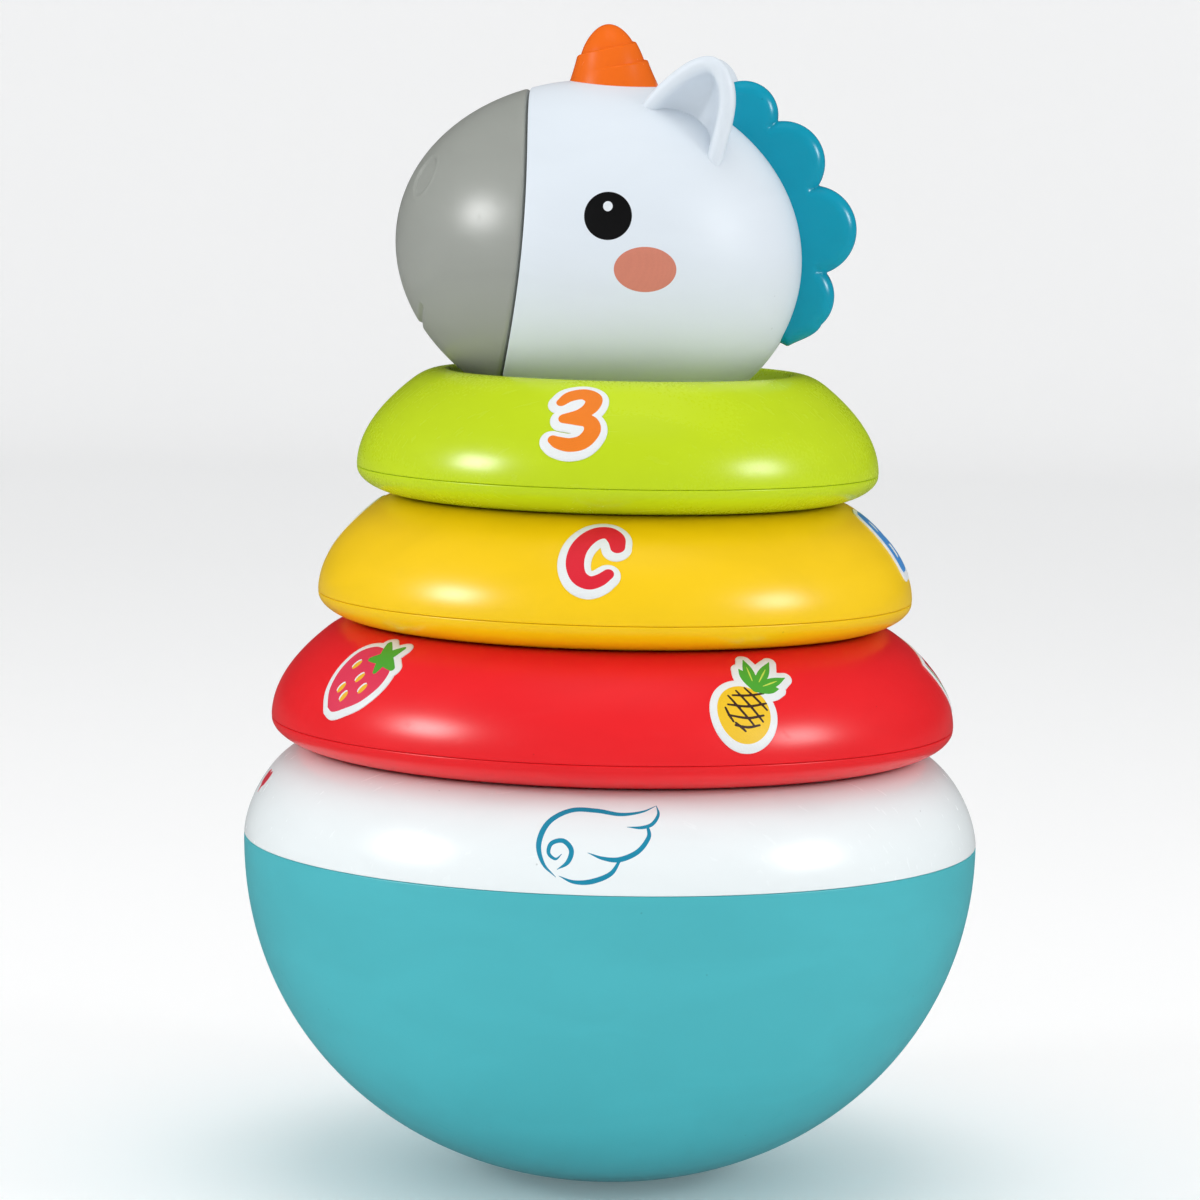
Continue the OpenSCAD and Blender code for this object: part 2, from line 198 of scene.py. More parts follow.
surround = bpy.data.worlds.new("surround")
surround.use_nodes = True
sky = surround.node_tree
up = Wire(sky, sky.nodes.new("ShaderNodeTexCoord").outputs["Generated"])
up = up.node("ShaderNodeSeparateXYZ", {"Vector": up}, out="Z")
mirrored = up.node("ShaderNodeLightPath", {}, out="Is Glossy Ray")
sky_light = 0.79
sheen = 0.14 - up.between(-0.03, 0.02) * 0.11
strength = sky_light - mirrored * sky_light + mirrored * sheen
sky.links.new(strength.socket, sky.nodes["Background"].inputs["Strength"])
sky.nodes["Background"].inputs["Color"].default_value = (1.0, 1.0, 1.0, 1)
surround.cycles.sampling_method = "NONE"
bpy.context.scene.world = surround
bpy.context.scene.view_settings.view_transform = "Standard"

camera_fall = 6.056
camera_roll = 1.194
lens = bpy.data.cameras.new("camera")
lens.lens = 137.96
lens.sensor_width = 36.0
lens.clip_end = 20.0
camera = bpy.data.objects.new("camera", lens)
spin = Matrix.Rotation(math.radians(camera_turn), 4, "Z")
tripod = Matrix.Translation((-0.00358, -1.1, 0.2552))
tip = Matrix.Rotation(math.radians(90 - camera_fall), 4, "X")
roll = Matrix.Rotation(math.radians(camera_roll), 4, "Z")
camera.matrix_world = spin @ tripod @ tip @ roll
bpy.context.scene.collection.objects.link(camera)
bpy.context.scene.camera = camera


# ---------- base bowl ----------
# The bowl is one injection moulding in satin teal plastic, a little flat at the foot. Inside it
# has a ring and three bosses that the iron weight sits on.

MM = 0.001
base_r = 88.2
seam_z = 81.5
bowl_depth = 82.7
bowl_power = 2.077
base_wall = 2.6
seam_gap = 0.025
weight_seat_in = 18
weight_seat_out = 21
weight_seat_top = 5
base_steps = 241


def bowl_curve(inset):
    """Half section of the bowl from the seam down to its flat foot."""
    r = base_r - inset
    depth = bowl_depth - inset
    foot = inset
    last = math.asin(((seam_z - foot) / depth) ** (bowl_power / 2))
    angles = np.linspace(0, last, 90)
    bend = 2 / bowl_power
    return [(r * math.cos(a) ** bend, seam_z - depth * math.sin(a) ** bend) for a in angles]


def eased(corners):
    """An outline with each corner (r, z, radius) rounded off, and short runs beside each round so
    that the shading stays flat between them."""
    made = []
    count = len(corners)
    for i in range(count):
        r, z, e = corners[i]
        here = np.array((r, z))
        if e <= 0:
            made.append(here)
            continue
        before = np.array(corners[i - 1][:2]) - here
        after = np.array(corners[(i + 1) % count][:2]) - here
        long_before = np.linalg.norm(before)
        long_after = np.linalg.norm(after)
        before = before / long_before
        after = after / long_after
        half = math.acos(max(-1.0, min(1.0, float(before @ after)))) / 2
        if half > math.radians(89):
            made.append(here)
            continue
        run = min(e / math.tan(half), 0.45 * long_before, 0.45 * long_after)
        e = run * math.tan(half)
        centre = here + (before + after) / np.linalg.norm(before + after) * e / math.sin(half)
        start = here + before * run - centre
        end = here + after * run - centre
        sweep = math.pi - 2 * half
        if long_before > 3 * run + 1:
            made.append(here + before * (run + 0.35))
        for k in range(7):
            t = k / 6
            spread = start * math.sin((1 - t) * sweep) + end * math.sin(t * sweep)
            made.append(centre + spread / math.sin(sweep))
        if long_after > 3 * run + 1:
            made.append(here + after * (run + 0.35))
    return [tuple(p) for p in made]


def lathe():
    """Geometry nodes that turn an outline, given as a row of points, round the post's axis."""
    tree = bpy.data.node_groups.new("lathe", "GeometryNodeTree")
    tree.interface.new_socket("Outline", in_out="INPUT", socket_type="NodeSocketGeometry")
    tree.interface.new_socket("Steps", in_out="INPUT", socket_type="NodeSocketInt")
    tree.interface.new_socket("Finish", in_out="INPUT", socket_type="NodeSocketMaterial")
    tree.interface.new_socket("Shell", in_out="OUTPUT", socket_type="NodeSocketGeometry")
    given = tree.nodes.new("NodeGroupInput")
    outline = Wire(tree, given.outputs["Outline"])
    steps = Wire(tree, given.outputs["Steps"])
    finish = Wire(tree, given.outputs["Finish"])
    rows = outline.node("GeometryNodeAttributeDomainSize", {"Geometry": outline}, component="MESH")
    sheet = rows.node("GeometryNodeMeshGrid", {"Vertices X": steps, "Vertices Y": rows})
    index = rows.node("GeometryNodeInputIndex", {})
    column = (index / rows + 0.0001).floor()
    row = index - column * rows
    position = rows.node("GeometryNodeInputPosition", {})
    sockets = {"Geometry": outline, "Value": position, "Index": row}
    profile = rows.node("GeometryNodeSampleIndex", sockets, data_type="FLOAT_VECTOR", domain="POINT")
    turn = column / (steps - 1) * (2 * math.pi)
    sockets = {"Vector": profile, "Angle": turn}
    placed = profile.node("ShaderNodeVectorRotate", sockets, rotation_type="Z_AXIS")
    shell = sheet.node("GeometryNodeSetPosition", {"Geometry": sheet, "Position": placed})
    shell = shell.node("GeometryNodeMergeByDistance", {"Geometry": shell, "Distance": 0.000002})
    shell = shell.node("GeometryNodeRealizeInstances", {"Geometry": shell})
    shell = shell.node("GeometryNodeSetMaterial", {"Geometry": shell, "Material": finish})
    end = tree.nodes.new("NodeGroupOutput")
    tree.links.new(shell.socket, end.inputs["Shell"])
    return tree


lathe_tree = lathe()


def grown_by_nodes(piece, tree, **inputs):
    """Runs a node tree on a piece and keeps the result as the piece's own plain mesh."""
    made = piece.modifiers.new("nodes", "NODES")
    made.node_group = tree
    for item in tree.interface.items_tree:
        key = item.name.replace(" ", "_")
        if item.in_out == "INPUT" and key in inputs:
            made[item.identifier] = inputs[key]
    bpy.context.view_layer.update()
    depsgraph = bpy.context.evaluated_depsgraph_get()
    mesh = bpy.data.meshes.new_from_object(piece.evaluated_get(depsgraph), depsgraph=depsgraph)
    piece.modifiers.clear()
    old = piece.data
    piece.data = mesh
    bpy.data.meshes.remove(old)
    mesh.name = piece.name
    return piece


def tidy_mesh(mesh, crease=38.0):
    """Turns a closed mesh's faces outwards and marks its real corners sharp."""
    work = bmesh.new()
    work.from_mesh(mesh)
    if work.calc_volume(signed=True) < 0:
        bmesh.ops.reverse_faces(work, faces=work.faces)
    work.to_mesh(mesh)
    work.free()
    mesh.polygons.foreach_set("use_smooth", [True] * len(mesh.polygons))
    mesh.set_sharp_from_angle(angle=math.radians(crease))


def fill_mesh(mesh, points, faces):
    """Gives a mesh its points, in millimetres, and its faces."""
    mesh.from_pydata([tuple(p) for p in points * MM], [], [tuple(int(i) for i in f) for f in faces])


def new_piece(name, mesh):
    piece = bpy.data.objects.new(name, mesh)
    bpy.context.scene.collection.objects.link(piece)
    return piece


def turned(name, outline, finish, steps):
    """A moulding of revolution. The outline is a loop that may touch the axis."""
    mesh = bpy.data.meshes.new(name)
    mesh.from_pydata([(r * MM, 0, z * MM) for r, z in outline + outline[:1]], [], [])
    piece = grown_by_nodes(new_piece(name, mesh), lathe_tree, Steps=steps, Finish=finish)
    tidy_mesh(piece.data)
    return piece


def moulded(name, colour, roughness, ripple=0.5, grain=0.0, scuff=0.0, flow=0.025):
    """Moulded plastic: faint flow marks in the colour, a slow ripple where it shrank in the mould,
    fine grain, and hairline scuffs that catch the light."""
    material, surface, place = new_material(name)
    streak = place.node("ShaderNodeMapping", {"Vector": place, "Scale": (1.0, 1.0, 2.6)})
    cloud = streak.noise(26.0, 4.0, Distortion=0.8)
    dark = tuple(c * (1 - flow) for c in colour) + (1,)
    light = tuple(min(1.0, c * (1 + flow)) for c in colour) + (1,)
    body = cloud.between(0.3, 0.7).blend(dark, light)
    speck = place.node("ShaderNodeTexVoronoi", {"Vector": place, "Scale": 95.0, "Randomness": 1.0})
    dust = 1.0 - speck.between(0.012, 0.03)
    body = (dust * 0.35).blend(body, tuple(c * 0.35 for c in colour) + (1,))
    fine = place.noise(1400.0, 2.0)
    slow = place.noise(70.0, 1.0)
    scratched = {"Vector": place, "Rotation": (0.5, 0.9, 0.3), "Scale": (40.0, 900.0, 300.0)}
    hair = place.node("ShaderNodeMapping", scratched)
    mark = hair.noise(1.0, 3.0).between(0.62, 0.74)
    rough = roughness + (fine - 0.5) * 0.03 + (cloud - 0.5) * 0.05 + mark * scuff
    height = slow * (0.012 * ripple) + fine * (0.004 * grain) - dust * 0.002
    connect(surface, Base_Color=body, Roughness=rough, Normal=height.as_normal())
    surface.inputs["IOR"].default_value = 1.37
    return material


bowl_teal = moulded("bowl_teal", (0.07, 0.485, 0.545), 0.36, ripple=0.5, grain=0.35, scuff=0.08)
outer = bowl_curve(0)
inner = bowl_curve(base_wall)
bowl_outline = [(base_r, seam_z - seam_gap, 0.35)]
bowl_outline += [(r, z, 0) for r, z in outer[1:-1] if z < seam_z - 1.2]
bowl_outline += [(outer[-1][0], 0, 1.2), (0.0, 0, 0)]
bowl_outline += [(0.0, base_wall, 0), (weight_seat_in, base_wall, 0.3)]
bowl_outline += [(weight_seat_in, weight_seat_top, 0.3), (weight_seat_out, weight_seat_top, 0.3)]
bowl_outline += [(weight_seat_out, base_wall, 0.3)]
for r, z in reversed(inner[1:-1]):
    if z < seam_z - 1.2 and r > weight_seat_out + 1:
        bowl_outline.append((r, z, 0))
bowl_outline += [(base_r - base_wall, seam_z - seam_gap, 0.2)]
base_bowl = turned("base_bowl_shell", eased(bowl_outline), bowl_teal, base_steps)
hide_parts("base_bowl")
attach(base_bowl, "base")


# ---------- ballast ----------
# A cast iron disc sits on the bowl's ring, under a black clamp ring and three plated screws.


def cast_iron():
    material, surface, place = new_material("ballast_iron")
    lump = place.noise(420.0, 6.0, Roughness=0.7)
    rust = place.noise(60.0, 5.0)
    shade = rust.between(0.55, 0.75).blend((0.045, 0.045, 0.05, 1), (0.13, 0.06, 0.03, 1))
    rough = 0.55 + (lump - 0.5) * 0.4
    connect(surface, Base_Color=shade, Roughness=rough, Normal=(lump * 0.35).as_normal())
    surface.inputs["Metallic"].default_value = 0.85
    return material


def plated_steel():
    material, surface, place = new_material("screw_steel")
    brush = place.node("ShaderNodeMapping", {"Vector": place, "Scale": (3000.0, 3000.0, 300.0)})
    line = brush.noise(1.0, 3.0)
    tint = place.noise(300.0, 2.0)
    shade = tint.blend((0.56, 0.57, 0.6, 1), (0.68, 0.67, 0.62, 1))
    rough = 0.28 + (line - 0.5) * 0.2
    connect(surface, Base_Color=shade, Roughness=rough, Normal=(line * 0.01).as_normal())
    surface.inputs["Metallic"].default_value = 1.0
    return material


def repaint(material, *names):
    """Gives carried-over pieces their finish."""
    for name in names:
        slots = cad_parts[name].material_slots
        for place in range(len(slots)):
            slots[place].material = material


screw_steel = plated_steel()
repaint(cast_iron(), "ballast_weight")
repaint(moulded("clamp_dark", (0.05, 0.05, 0.055), 0.5, grain=0.8), "ballast_clamp")
repaint(screw_steel, "ballast_screws", "post_screws")


# ---------- base cover ----------
# The cover is a gloss white moulding pushed into the bowl. Its top is flat round a dish that the
# bottom ring's boss nests in, with a hole for the post.

cover_rise = 21.6
shoulder_w = 15.5
shoulder_power = 1.65
seat_z = seam_z + cover_rise
post_r = 15.0
dish_r = 41.0
dish_floor_r = 36.0
dish_depth = 10.0


def shoulder_curve(inset, count=70):
    """The cover's round shoulder, from the seam up to the flat top."""
    corner = base_r - shoulder_w
    points = []
    for i in range(count + 1):
        a = math.radians(90 * i / count)
        r = corner + (shoulder_w - inset) * math.cos(a) ** (2 / shoulder_power)
        z = seam_z + (cover_rise - inset) * math.sin(a) ** (2 / shoulder_power)
        points.append((r, z))
    return points


def dish(top, wall):
    """Corners of a dish from its rim down to its floor."""
    if wall:
        low = top - wall - dish_depth
        return [(dish_r + wall + 0.6, top - wall, 1.2), (dish_floor_r + wall + 0.2, low, 1.2)]
    return [(dish_r + 0.4, top, 1.8), (dish_floor_r + 0.1, top - dish_depth, 1.8)]


cover_white = moulded("cover_white", (0.86, 0.915, 0.93), 0.24, ripple=0.5, scuff=0.05, flow=0.012)
cover_outline = [(base_r, seam_z + seam_gap, 0.3)]
cover_outline += [(r, z, 0) for r, z in shoulder_curve(0)[1:] if z > seam_z + 0.8]
cover_outline += dish(seat_z, 0)
hole_r = post_r + 0.2
spigot_r = base_r - base_wall - 0.3
spigot_in = base_r - base_wall - 1.8
spigot_foot = seam_z - 5
cover_outline += [(hole_r, seat_z - dish_depth, 0.5), (hole_r, seat_z - dish_depth - base_wall, 0.3)]
cover_outline += reversed(dish(seat_z, base_wall))
for r, z in reversed(shoulder_curve(base_wall)[1:-1]):
    if z > seam_z + 3.4:
        cover_outline.append((r, z, 0))
cover_outline += [(spigot_in, seam_z + 3, 0), (spigot_in, spigot_foot, 0.3)]
cover_outline += [(spigot_r, spigot_foot, 0.3), (spigot_r, seam_z + seam_gap, 0)]
base_cover = turned("base_cover_shell", eased(cover_outline), cover_white, base_steps)
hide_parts("base_cover")
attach(base_cover, "base")


# ---------- post ----------
# The post is a hollow white tube with a domed top. Its flange is screwed up under the cover.

post_top = 206.0
post_wall = 2.4
post_dome = 9.0
flange_r = 27
flange_top = 86.5
flange_foot = 84
post_steps = 129
bore_post_r = post_r - post_wall
dome_z = post_top - post_dome
post_white = moulded("post_white", (0.84, 0.88, 0.89), 0.26, ripple=0.4, scuff=0.1, flow=0.015)
post_outline = [(0.0, post_top, 0)]
for a in np.radians(np.linspace(3, 90, 24)):
    post_outline.append((post_r * math.sin(a), dome_z + post_dome * math.cos(a), 0))
post_outline += [(post_r, flange_top, 0.6), (flange_r, flange_top, 0.4), (flange_r, flange_foot, 0.4)]
post_outline += [(bore_post_r, flange_foot, 0.3)]
for a in np.radians(np.linspace(90, 3, 24)):
    post_outline.append((bore_post_r * math.sin(a), dome_z + (post_dome - post_wall) * math.cos(a), 0))
post_outline += [(0.0, post_top - post_wall, 0)]
stacking_post = turned("stacking_post_tube", eased(post_outline), post_white, steps=post_steps)
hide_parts("stacking_post")
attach(stacking_post, "base")


# ---------- rings ----------
# Each ring is two gloss shells, pushed together on a tongue low on the flank. The upper shell has
# the dish and the bore, and the lower one the boss that nests in the dish below.

ring_pitch = 30.2
ring_seam_h = 6.8
ring_wall = 2.2
ring_base_w = 14.0
bore_r = post_r + 1.0
boss_r = 35.0
boss_h = 8.0
tongue_in = 3.8
tongue_out = 2.55
tongue_h = 2.4
ring_steps = 225
flank_fall = 33.0
lip_rise = 20.5
ring_z = {"red": seat_z, "yellow": seat_z + ring_pitch, "green": seat_z + 2 * ring_pitch}
ring_r = {"red": 82.0, "yellow": 71.3, "green": 62.5}
ring_finish = {
    "red": moulded("ring_red", (0.86, 0.010, 0.016), 0.3, ripple=0.6, scuff=0.05),
    "yellow": moulded("ring_yellow", (0.94, 0.60, 0.002), 0.29, ripple=0.6, scuff=0.05),
    "green": moulded("ring_green", (0.54, 0.71, 0.008), 0.27, ripple=0.6, scuff=0.05),
}


def flank_curve(r, base, out=0.0):
    """A ring's flank and lip from its seam to the crown, moved outwards by a distance."""
    seam = base + ring_seam_h
    points = []
    for u in np.linspace(0, lip_rise, 60):
        lean = 2 * u / flank_fall
        size = math.hypot(1, lean)
        points.append((r - u * u / flank_fall + out / size, seam + u + out * lean / size))
    foot = np.array(points[-1])
    lean = 2 * lip_rise / flank_fall
    crown = base + ring_pitch + out
    corner = np.array((foot[0] - lean * (crown - foot[1]), crown))
    end = np.array((max(corner[0] - 3.6, dish_r - out + 1.6), crown))
    for t in np.linspace(0, 1, 22)[1:]:
        points.append(tuple(foot * (1 - t) ** 2 + corner * 2 * t * (1 - t) + end * t * t))
    return points


def under_curve(r, base, inset=0.0):
    """A ring's rounded lower edge, from its seam down to the flat underside."""
    points = []
    for a in np.radians(np.linspace(0, 90, 32)):
        x = (ring_base_w - inset) * math.cos(a)
        z = (ring_seam_h - inset) * math.sin(a)
        points.append((r - ring_base_w + x, base + ring_seam_h - z))
    return points


def upper_outline(r, base):
    top = base + ring_pitch
    seam = base + ring_seam_h + seam_gap
    tube_foot = base - boss_h + ring_wall
    outline = [(r, seam, 0.3)]
    outline += [(x, z, 0) for x, z in flank_curve(r, base) if z > seam + 0.9]
    outline += dish(top, 0)
    tube_r = bore_r + ring_wall
    outline += [(bore_r, top - dish_depth, 0.8), (bore_r, tube_foot, 0.3), (tube_r, tube_foot, 0.3)]
    outline += [(tube_r, top - dish_depth - ring_wall, 0.8)]
    outline += list(reversed(dish(top, ring_wall)))
    for x, z in reversed(flank_curve(r, base, -ring_wall)):
        if seam + 0.9 < z < top - 3.5:
            outline.append((x, z, 0))
    outline += [(r - ring_wall, seam, 0.2)]
    return outline


def lower_outline(r, base):
    seam = base + ring_seam_h - seam_gap
    floor_z = base - boss_h
    outline = [(r, seam, 0.3)]
    outline += [(x, z, 0) for x, z in under_curve(r, base) if z < seam - 0.8]
    shelf = floor_z + ring_wall
    outline += [(boss_r, base, 0.6), (boss_r, floor_z, 1.0), (bore_r, floor_z, 0.8), (bore_r, shelf, 0.2)]
    outline += [(boss_r - ring_wall, shelf, 0.6), (boss_r - ring_wall, base + ring_wall, 0.6)]
    outline += [(x, z, 0) for x, z in reversed(under_curve(r, base, ring_wall)) if z < seam - 3.4]
    outline += [(r - tongue_in, seam - 3.2, 0.2), (r - tongue_in, seam + tongue_h, 0.3)]
    outline += [(r - tongue_out, seam + tongue_h, 0.3), (r - tongue_out, seam, 0)]
    return outline


for hue in ("red", "yellow", "green"):
    for half, section in (("upper", upper_outline), ("lower", lower_outline)):
        outline = eased(section(ring_r[hue], ring_z[hue]))
        shell = turned(f"{hue}_ring_{half}_shell", outline, ring_finish[hue], ring_steps)
        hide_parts(f"{hue}_ring_{half}")
        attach(shell, f"{hue}_ring")


# ---------- stickers ----------
# Die-cut vinyl stickers with a white margin, printed and laid on the rings' flanks. Their art is
# drawn with brush strokes and rounds, in millimetres from the sticker's middle.


def smooth_path(points, per_span=10):
    """A smooth line through the points, given as rows of x, y and half width."""
    rows = np.array(points, float)
    ends = np.vstack([2 * rows[0] - rows[1], rows, 2 * rows[-1] - rows[-2]])
    made = []
    for i in range(1, len(ends) - 2):
        a, b, c, d = ends[i - 1:i + 3]
        for t in np.linspace(0, 1, per_span, endpoint=False):
            made.append(0.5 * (2 * b + (c - a) * t + (2 * a - 5 * b + 4 * c - d) * t ** 2
                               + (3 * b - a - 3 * c + d) * t ** 3))
    made.append(rows[-1])
    return np.array(made)


def stroke(points, per_span=10):
    """A brush stroke. A field is positive inside its shape, and its value is the depth."""
    path = smooth_path(points, per_span)

    def field(x, y):
        best = np.full(np.shape(x), -1e9)
        for (ax, ay, aw), (bx, by, bw) in zip(path[:-1], path[1:]):
            dx, dy = bx - ax, by - ay
            long = dx * dx + dy * dy + 1e-12
            t = np.clip(((x - ax) * dx + (y - ay) * dy) / long, 0, 1)
            best = np.maximum(best, aw + (bw - aw) * t - np.hypot(x - ax - t * dx, y - ay - t * dy))
        return best

    return field


def oval(cx, cy, rx, ry, turn=0.0):
    """An ellipse of half axes rx and ry, turned anticlockwise by degrees."""
    c, s = math.cos(math.radians(turn)), math.sin(math.radians(turn))

    def field(x, y):
        u = (x - cx) * c + (y - cy) * s
        v = (y - cy) * c - (x - cx) * s
        return (1 - np.hypot(u / rx, v / ry)) * min(rx, ry)

    return field


def filled(points, round_by=0.0):
    """A shape inside a closed smooth line, with corners rounded off by a radius."""
    path = smooth_path([(x, y, 0) for x, y in list(points) + [points[0]]], 8)[:, :2]

    def field(x, y):
        near = np.full(np.shape(x), 1e9)
        inside = np.zeros(np.shape(x), bool)
        for (ax, ay), (bx, by) in zip(path, np.roll(path, -1, axis=0)):
            dx, dy = bx - ax, by - ay
            t = np.clip(((x - ax) * dx + (y - ay) * dy) / (dx * dx + dy * dy + 1e-12), 0, 1)
            near = np.minimum(near, np.hypot(x - ax - t * dx, y - ay - t * dy))
            if ay != by:
                inside ^= ((ay > y) != (by > y)) & (x < (bx - ax) * (y - ay) / (by - ay) + ax)
        return np.where(inside, near, -near) + round_by

    return field


def either(*fields):
    return lambda x, y: np.max([f(x, y) for f in fields], axis=0)


def both(*fields):
    return lambda x, y: np.min([f(x, y) for f in fields], axis=0)


def ovals(places, rx, ry, turn):
    """The same oval at several places."""
    return either(*[oval(x, y, rx, ry, turn) for x, y in places])


def wider(field, by, shift=(0.0, 0.0)):
    return lambda x, y: field(x - shift[0], y - shift[1]) + by


def edge_lines(values, xs, ys, level):
    """The line on which a field, sampled on a grid, passes a level, as points and joining pairs."""
    points, index, pairs = [], {}, []

    def crossing(a, b):
        key = (a, b) if a < b else (b, a)
        if key not in index:
            va, vb = values[a] - level, values[b] - level
            t = va / (va - vb)
            index[key] = len(points)
            points.append((xs[a[0]] + t * (xs[b[0]] - xs[a[0]]), ys[a[1]] + t * (ys[b[1]] - ys[a[1]])))
        return index[key]

    above = values > level
    count = above[:-1, :-1].astype(int) + above[1:, :-1] + above[1:, 1:] + above[:-1, 1:]
    for i, j in zip(*np.nonzero((count > 0) & (count < 4))):
        ring = [(i, j), (i + 1, j), (i + 1, j + 1), (i, j + 1)]
        sides = zip(ring, ring[1:] + ring[:1])
        cuts = [crossing(a, b) for a, b in sides if above[a] != above[b]]
        if len(cuts) == 4:
            cuts = cuts[1:] + cuts[:1] if above[ring[0]] else cuts
            pairs.append((cuts[2], cuts[3]))
        pairs.append((cuts[0], cuts[1]))
    return points, pairs


inner_spacing = 1.3
edge_round = 0.18
sunk_by = 0.06


def printed_sheet(name, art, place, thick, step=0.2, extent=15.0):
    """A thin closed sheet cut to the first shape of the art, with the others printed on it in turn.
    Place lays its flat points, with a height above the surface, on the toy."""
    xs = np.arange(-extent, extent + step, step)
    gx, gy = np.meshgrid(xs, xs, indexing="ij")
    points, pairs = [], []
    backing = art[0][1]
    levels = [(backing, 0.0), (backing, 0.06), (backing, edge_round)]
    levels += [(field, 0.0) for _, field in art[1:]]
    for field, level in levels:
        found, joined = edge_lines(field(gx, gy), xs, xs, level)
        pairs += [(a + len(points), b + len(points)) for a, b in joined]
        points += found
    loose = np.arange(-extent, extent, inner_spacing)
    lx, ly = [a.ravel() for a in np.meshgrid(loose, loose, indexing="ij")]
    keep = backing(lx, ly) > 0.35
    points += list(zip(lx[keep], ly[keep]))
    flat, _, faces, *_ = delaunay_2d_cdt([Vector(p) for p in points], pairs, [], 0, 1e-5)
    flat = np.array([(p.x, p.y) for p in flat])
    faces = np.array([f for f in faces if len(f) == 3])
    middle = flat[faces].mean(axis=1)
    faces = faces[backing(middle[:, 0], middle[:, 1]) > 1e-4]
    middle = flat[faces].mean(axis=1)
    ink_of = np.zeros(len(faces), int)
    for number, (_, field) in enumerate(art[1:], 1):
        ink_of[field(middle[:, 0], middle[:, 1]) > 0] = number
    used = np.unique(faces)
    renumber = np.full(len(flat), -1)
    renumber[used] = np.arange(len(used))
    flat = flat[used]
    faces = renumber[faces]
    depth = backing(flat[:, 0], flat[:, 1])
    slope = 1 - np.clip(depth, 0, edge_round) / edge_round
    rise = thick * np.sqrt(np.clip(1 - slope ** 2, 0, 1))
    top = place(flat[:, 0], flat[:, 1], np.maximum(rise, 0.004))
    under = place(flat[:, 0], flat[:, 1], np.full(len(flat), -sunk_by))
    count = len(flat)
    edges = {}
    for a, b, c in faces:
        for e in ((a, b), (b, c), (c, a)):
            edges[e] = True
    rim = [(a, b) for a, b in edges if (b, a) not in edges]
    all_faces = [tuple(f) for f in faces] + [(a + count, c + count, b + count) for a, b, c in faces]
    all_faces += [(b, a, a + count, b + count) for a, b in rim]
    mesh = bpy.data.meshes.new(name)
    fill_mesh(mesh, np.vstack([top, under]), all_faces)
    for ink, _ in art:
        mesh.materials.append(ink)
    mesh.polygons.foreach_set("material_index", list(ink_of) + [0] * (len(faces) + len(rim)))
    tidy_mesh(mesh, crease=60.0)
    return new_piece(name, mesh)


def on_surface(curve, azimuth, along):
    """Lays flat points on a moulding of revolution. Along is the sticker's middle, measured up the
    curve from its foot."""
    rows = np.array(curve)
    lengths = np.r_[0, np.cumsum(np.hypot(*np.diff(rows, axis=0).T))]
    slope = np.gradient(rows, lengths, axis=0)
    slope /= np.hypot(slope[:, 0], slope[:, 1])[:, None]

    def place(s, t, height):
        at = along + t
        r = np.interp(at, lengths, rows[:, 0])
        z = np.interp(at, lengths, rows[:, 1])
        out_r = np.interp(at, lengths, slope[:, 1])
        out_z = -np.interp(at, lengths, slope[:, 0])
        angle = math.radians(azimuth) + s / r
        r = r + out_r * height
        return np.stack([r * np.cos(angle), r * np.sin(angle), z + out_z * height], axis=1)

    return place


def vinyl(name, colour):
    """Printed vinyl: a fine ink screen, a faint texture from the laminate, and a satin gloss."""
    material, surface, place = new_material(name)
    screen = place.node("ShaderNodeTexVoronoi", {"Vector": place, "Scale": 3200.0, "Randomness": 0.35})
    cloud = place.noise(160.0, 3.0)
    dark = tuple(c * 0.93 for c in colour) + (1,)
    body = (screen * 0.55 + cloud * 0.45).between(0.2, 0.75).blend(dark, colour + (1,))
    laminate = place.noise(700.0, 2.0) * 0.004
    rough = 0.42 + (cloud - 0.5) * 0.12
    connect(surface, Base_Color=body, Roughness=rough, Normal=laminate.as_normal())
    surface.inputs["IOR"].default_value = 1.37
    return material


ink_white = vinyl("ink_white", (0.82, 0.85, 0.86))
ink_orange = vinyl("ink_orange", (0.88, 0.21, 0.006))
ink_red = vinyl("ink_red", (0.76, 0.009, 0.03))
ink_blue = vinyl("ink_blue", (0.055, 0.29, 0.72))
ink_crimson = vinyl("ink_crimson", (0.78, 0.032, 0.09))
ink_leaf = vinyl("ink_leaf", (0.075, 0.41, 0.03))
ink_leaf_pale = vinyl("ink_leaf_pale", (0.55, 0.75, 0.09))
ink_seed = vinyl("ink_seed", (0.88, 0.48, 0.015))
ink_pine = vinyl("ink_pine", (0.90, 0.56, 0.008))
ink_brown = vinyl("ink_brown", (0.055, 0.02, 0.012))
ink_melon = vinyl("ink_melon", (0.62, 0.02, 0.035))
ink_rind = vinyl("ink_rind", (0.09, 0.42, 0.06))
ink_apple = vinyl("ink_apple", (0.42, 0.66, 0.03))

sticker_t = 0.24
margin = 1.75
plain_margin = 1.7
three_art = either(
    stroke([(-4.0, 6.0, 1.2), (-2.2, 8.0, 1.65), (0.9, 8.9, 1.75), (3.3, 7.3, 1.95), (3.0, 4.6, 1.9),
            (0.9, 2.5, 1.6), (-2.6, 1.1, 1.35)]),
    stroke([(-2.6, 1.1, 1.35), (0.5, 1.0, 1.7), (3.3, 0.4, 1.8), (4.3, -2.1, 1.95), (2.7, -4.9, 1.9),
            (-0.2, -5.9, 1.75), (-3.0, -5.5, 1.55), (-4.5, -4.8, 1.15)]))
two_art = either(
    stroke([(-3.9, 5.6, 1.3), (-1.8, 8.0, 1.7), (1.6, 8.2, 1.9), (3.6, 5.6, 1.95), (2.2, 2.0, 1.8),
            (-0.9, -1.8, 1.7), (-3.6, -5.3, 1.6)]),
    stroke([(-3.6, -5.3, 1.6), (-0.5, -4.6, 1.6), (2.4, -5.6, 1.6), (4.2, -5.0, 1.3)]))
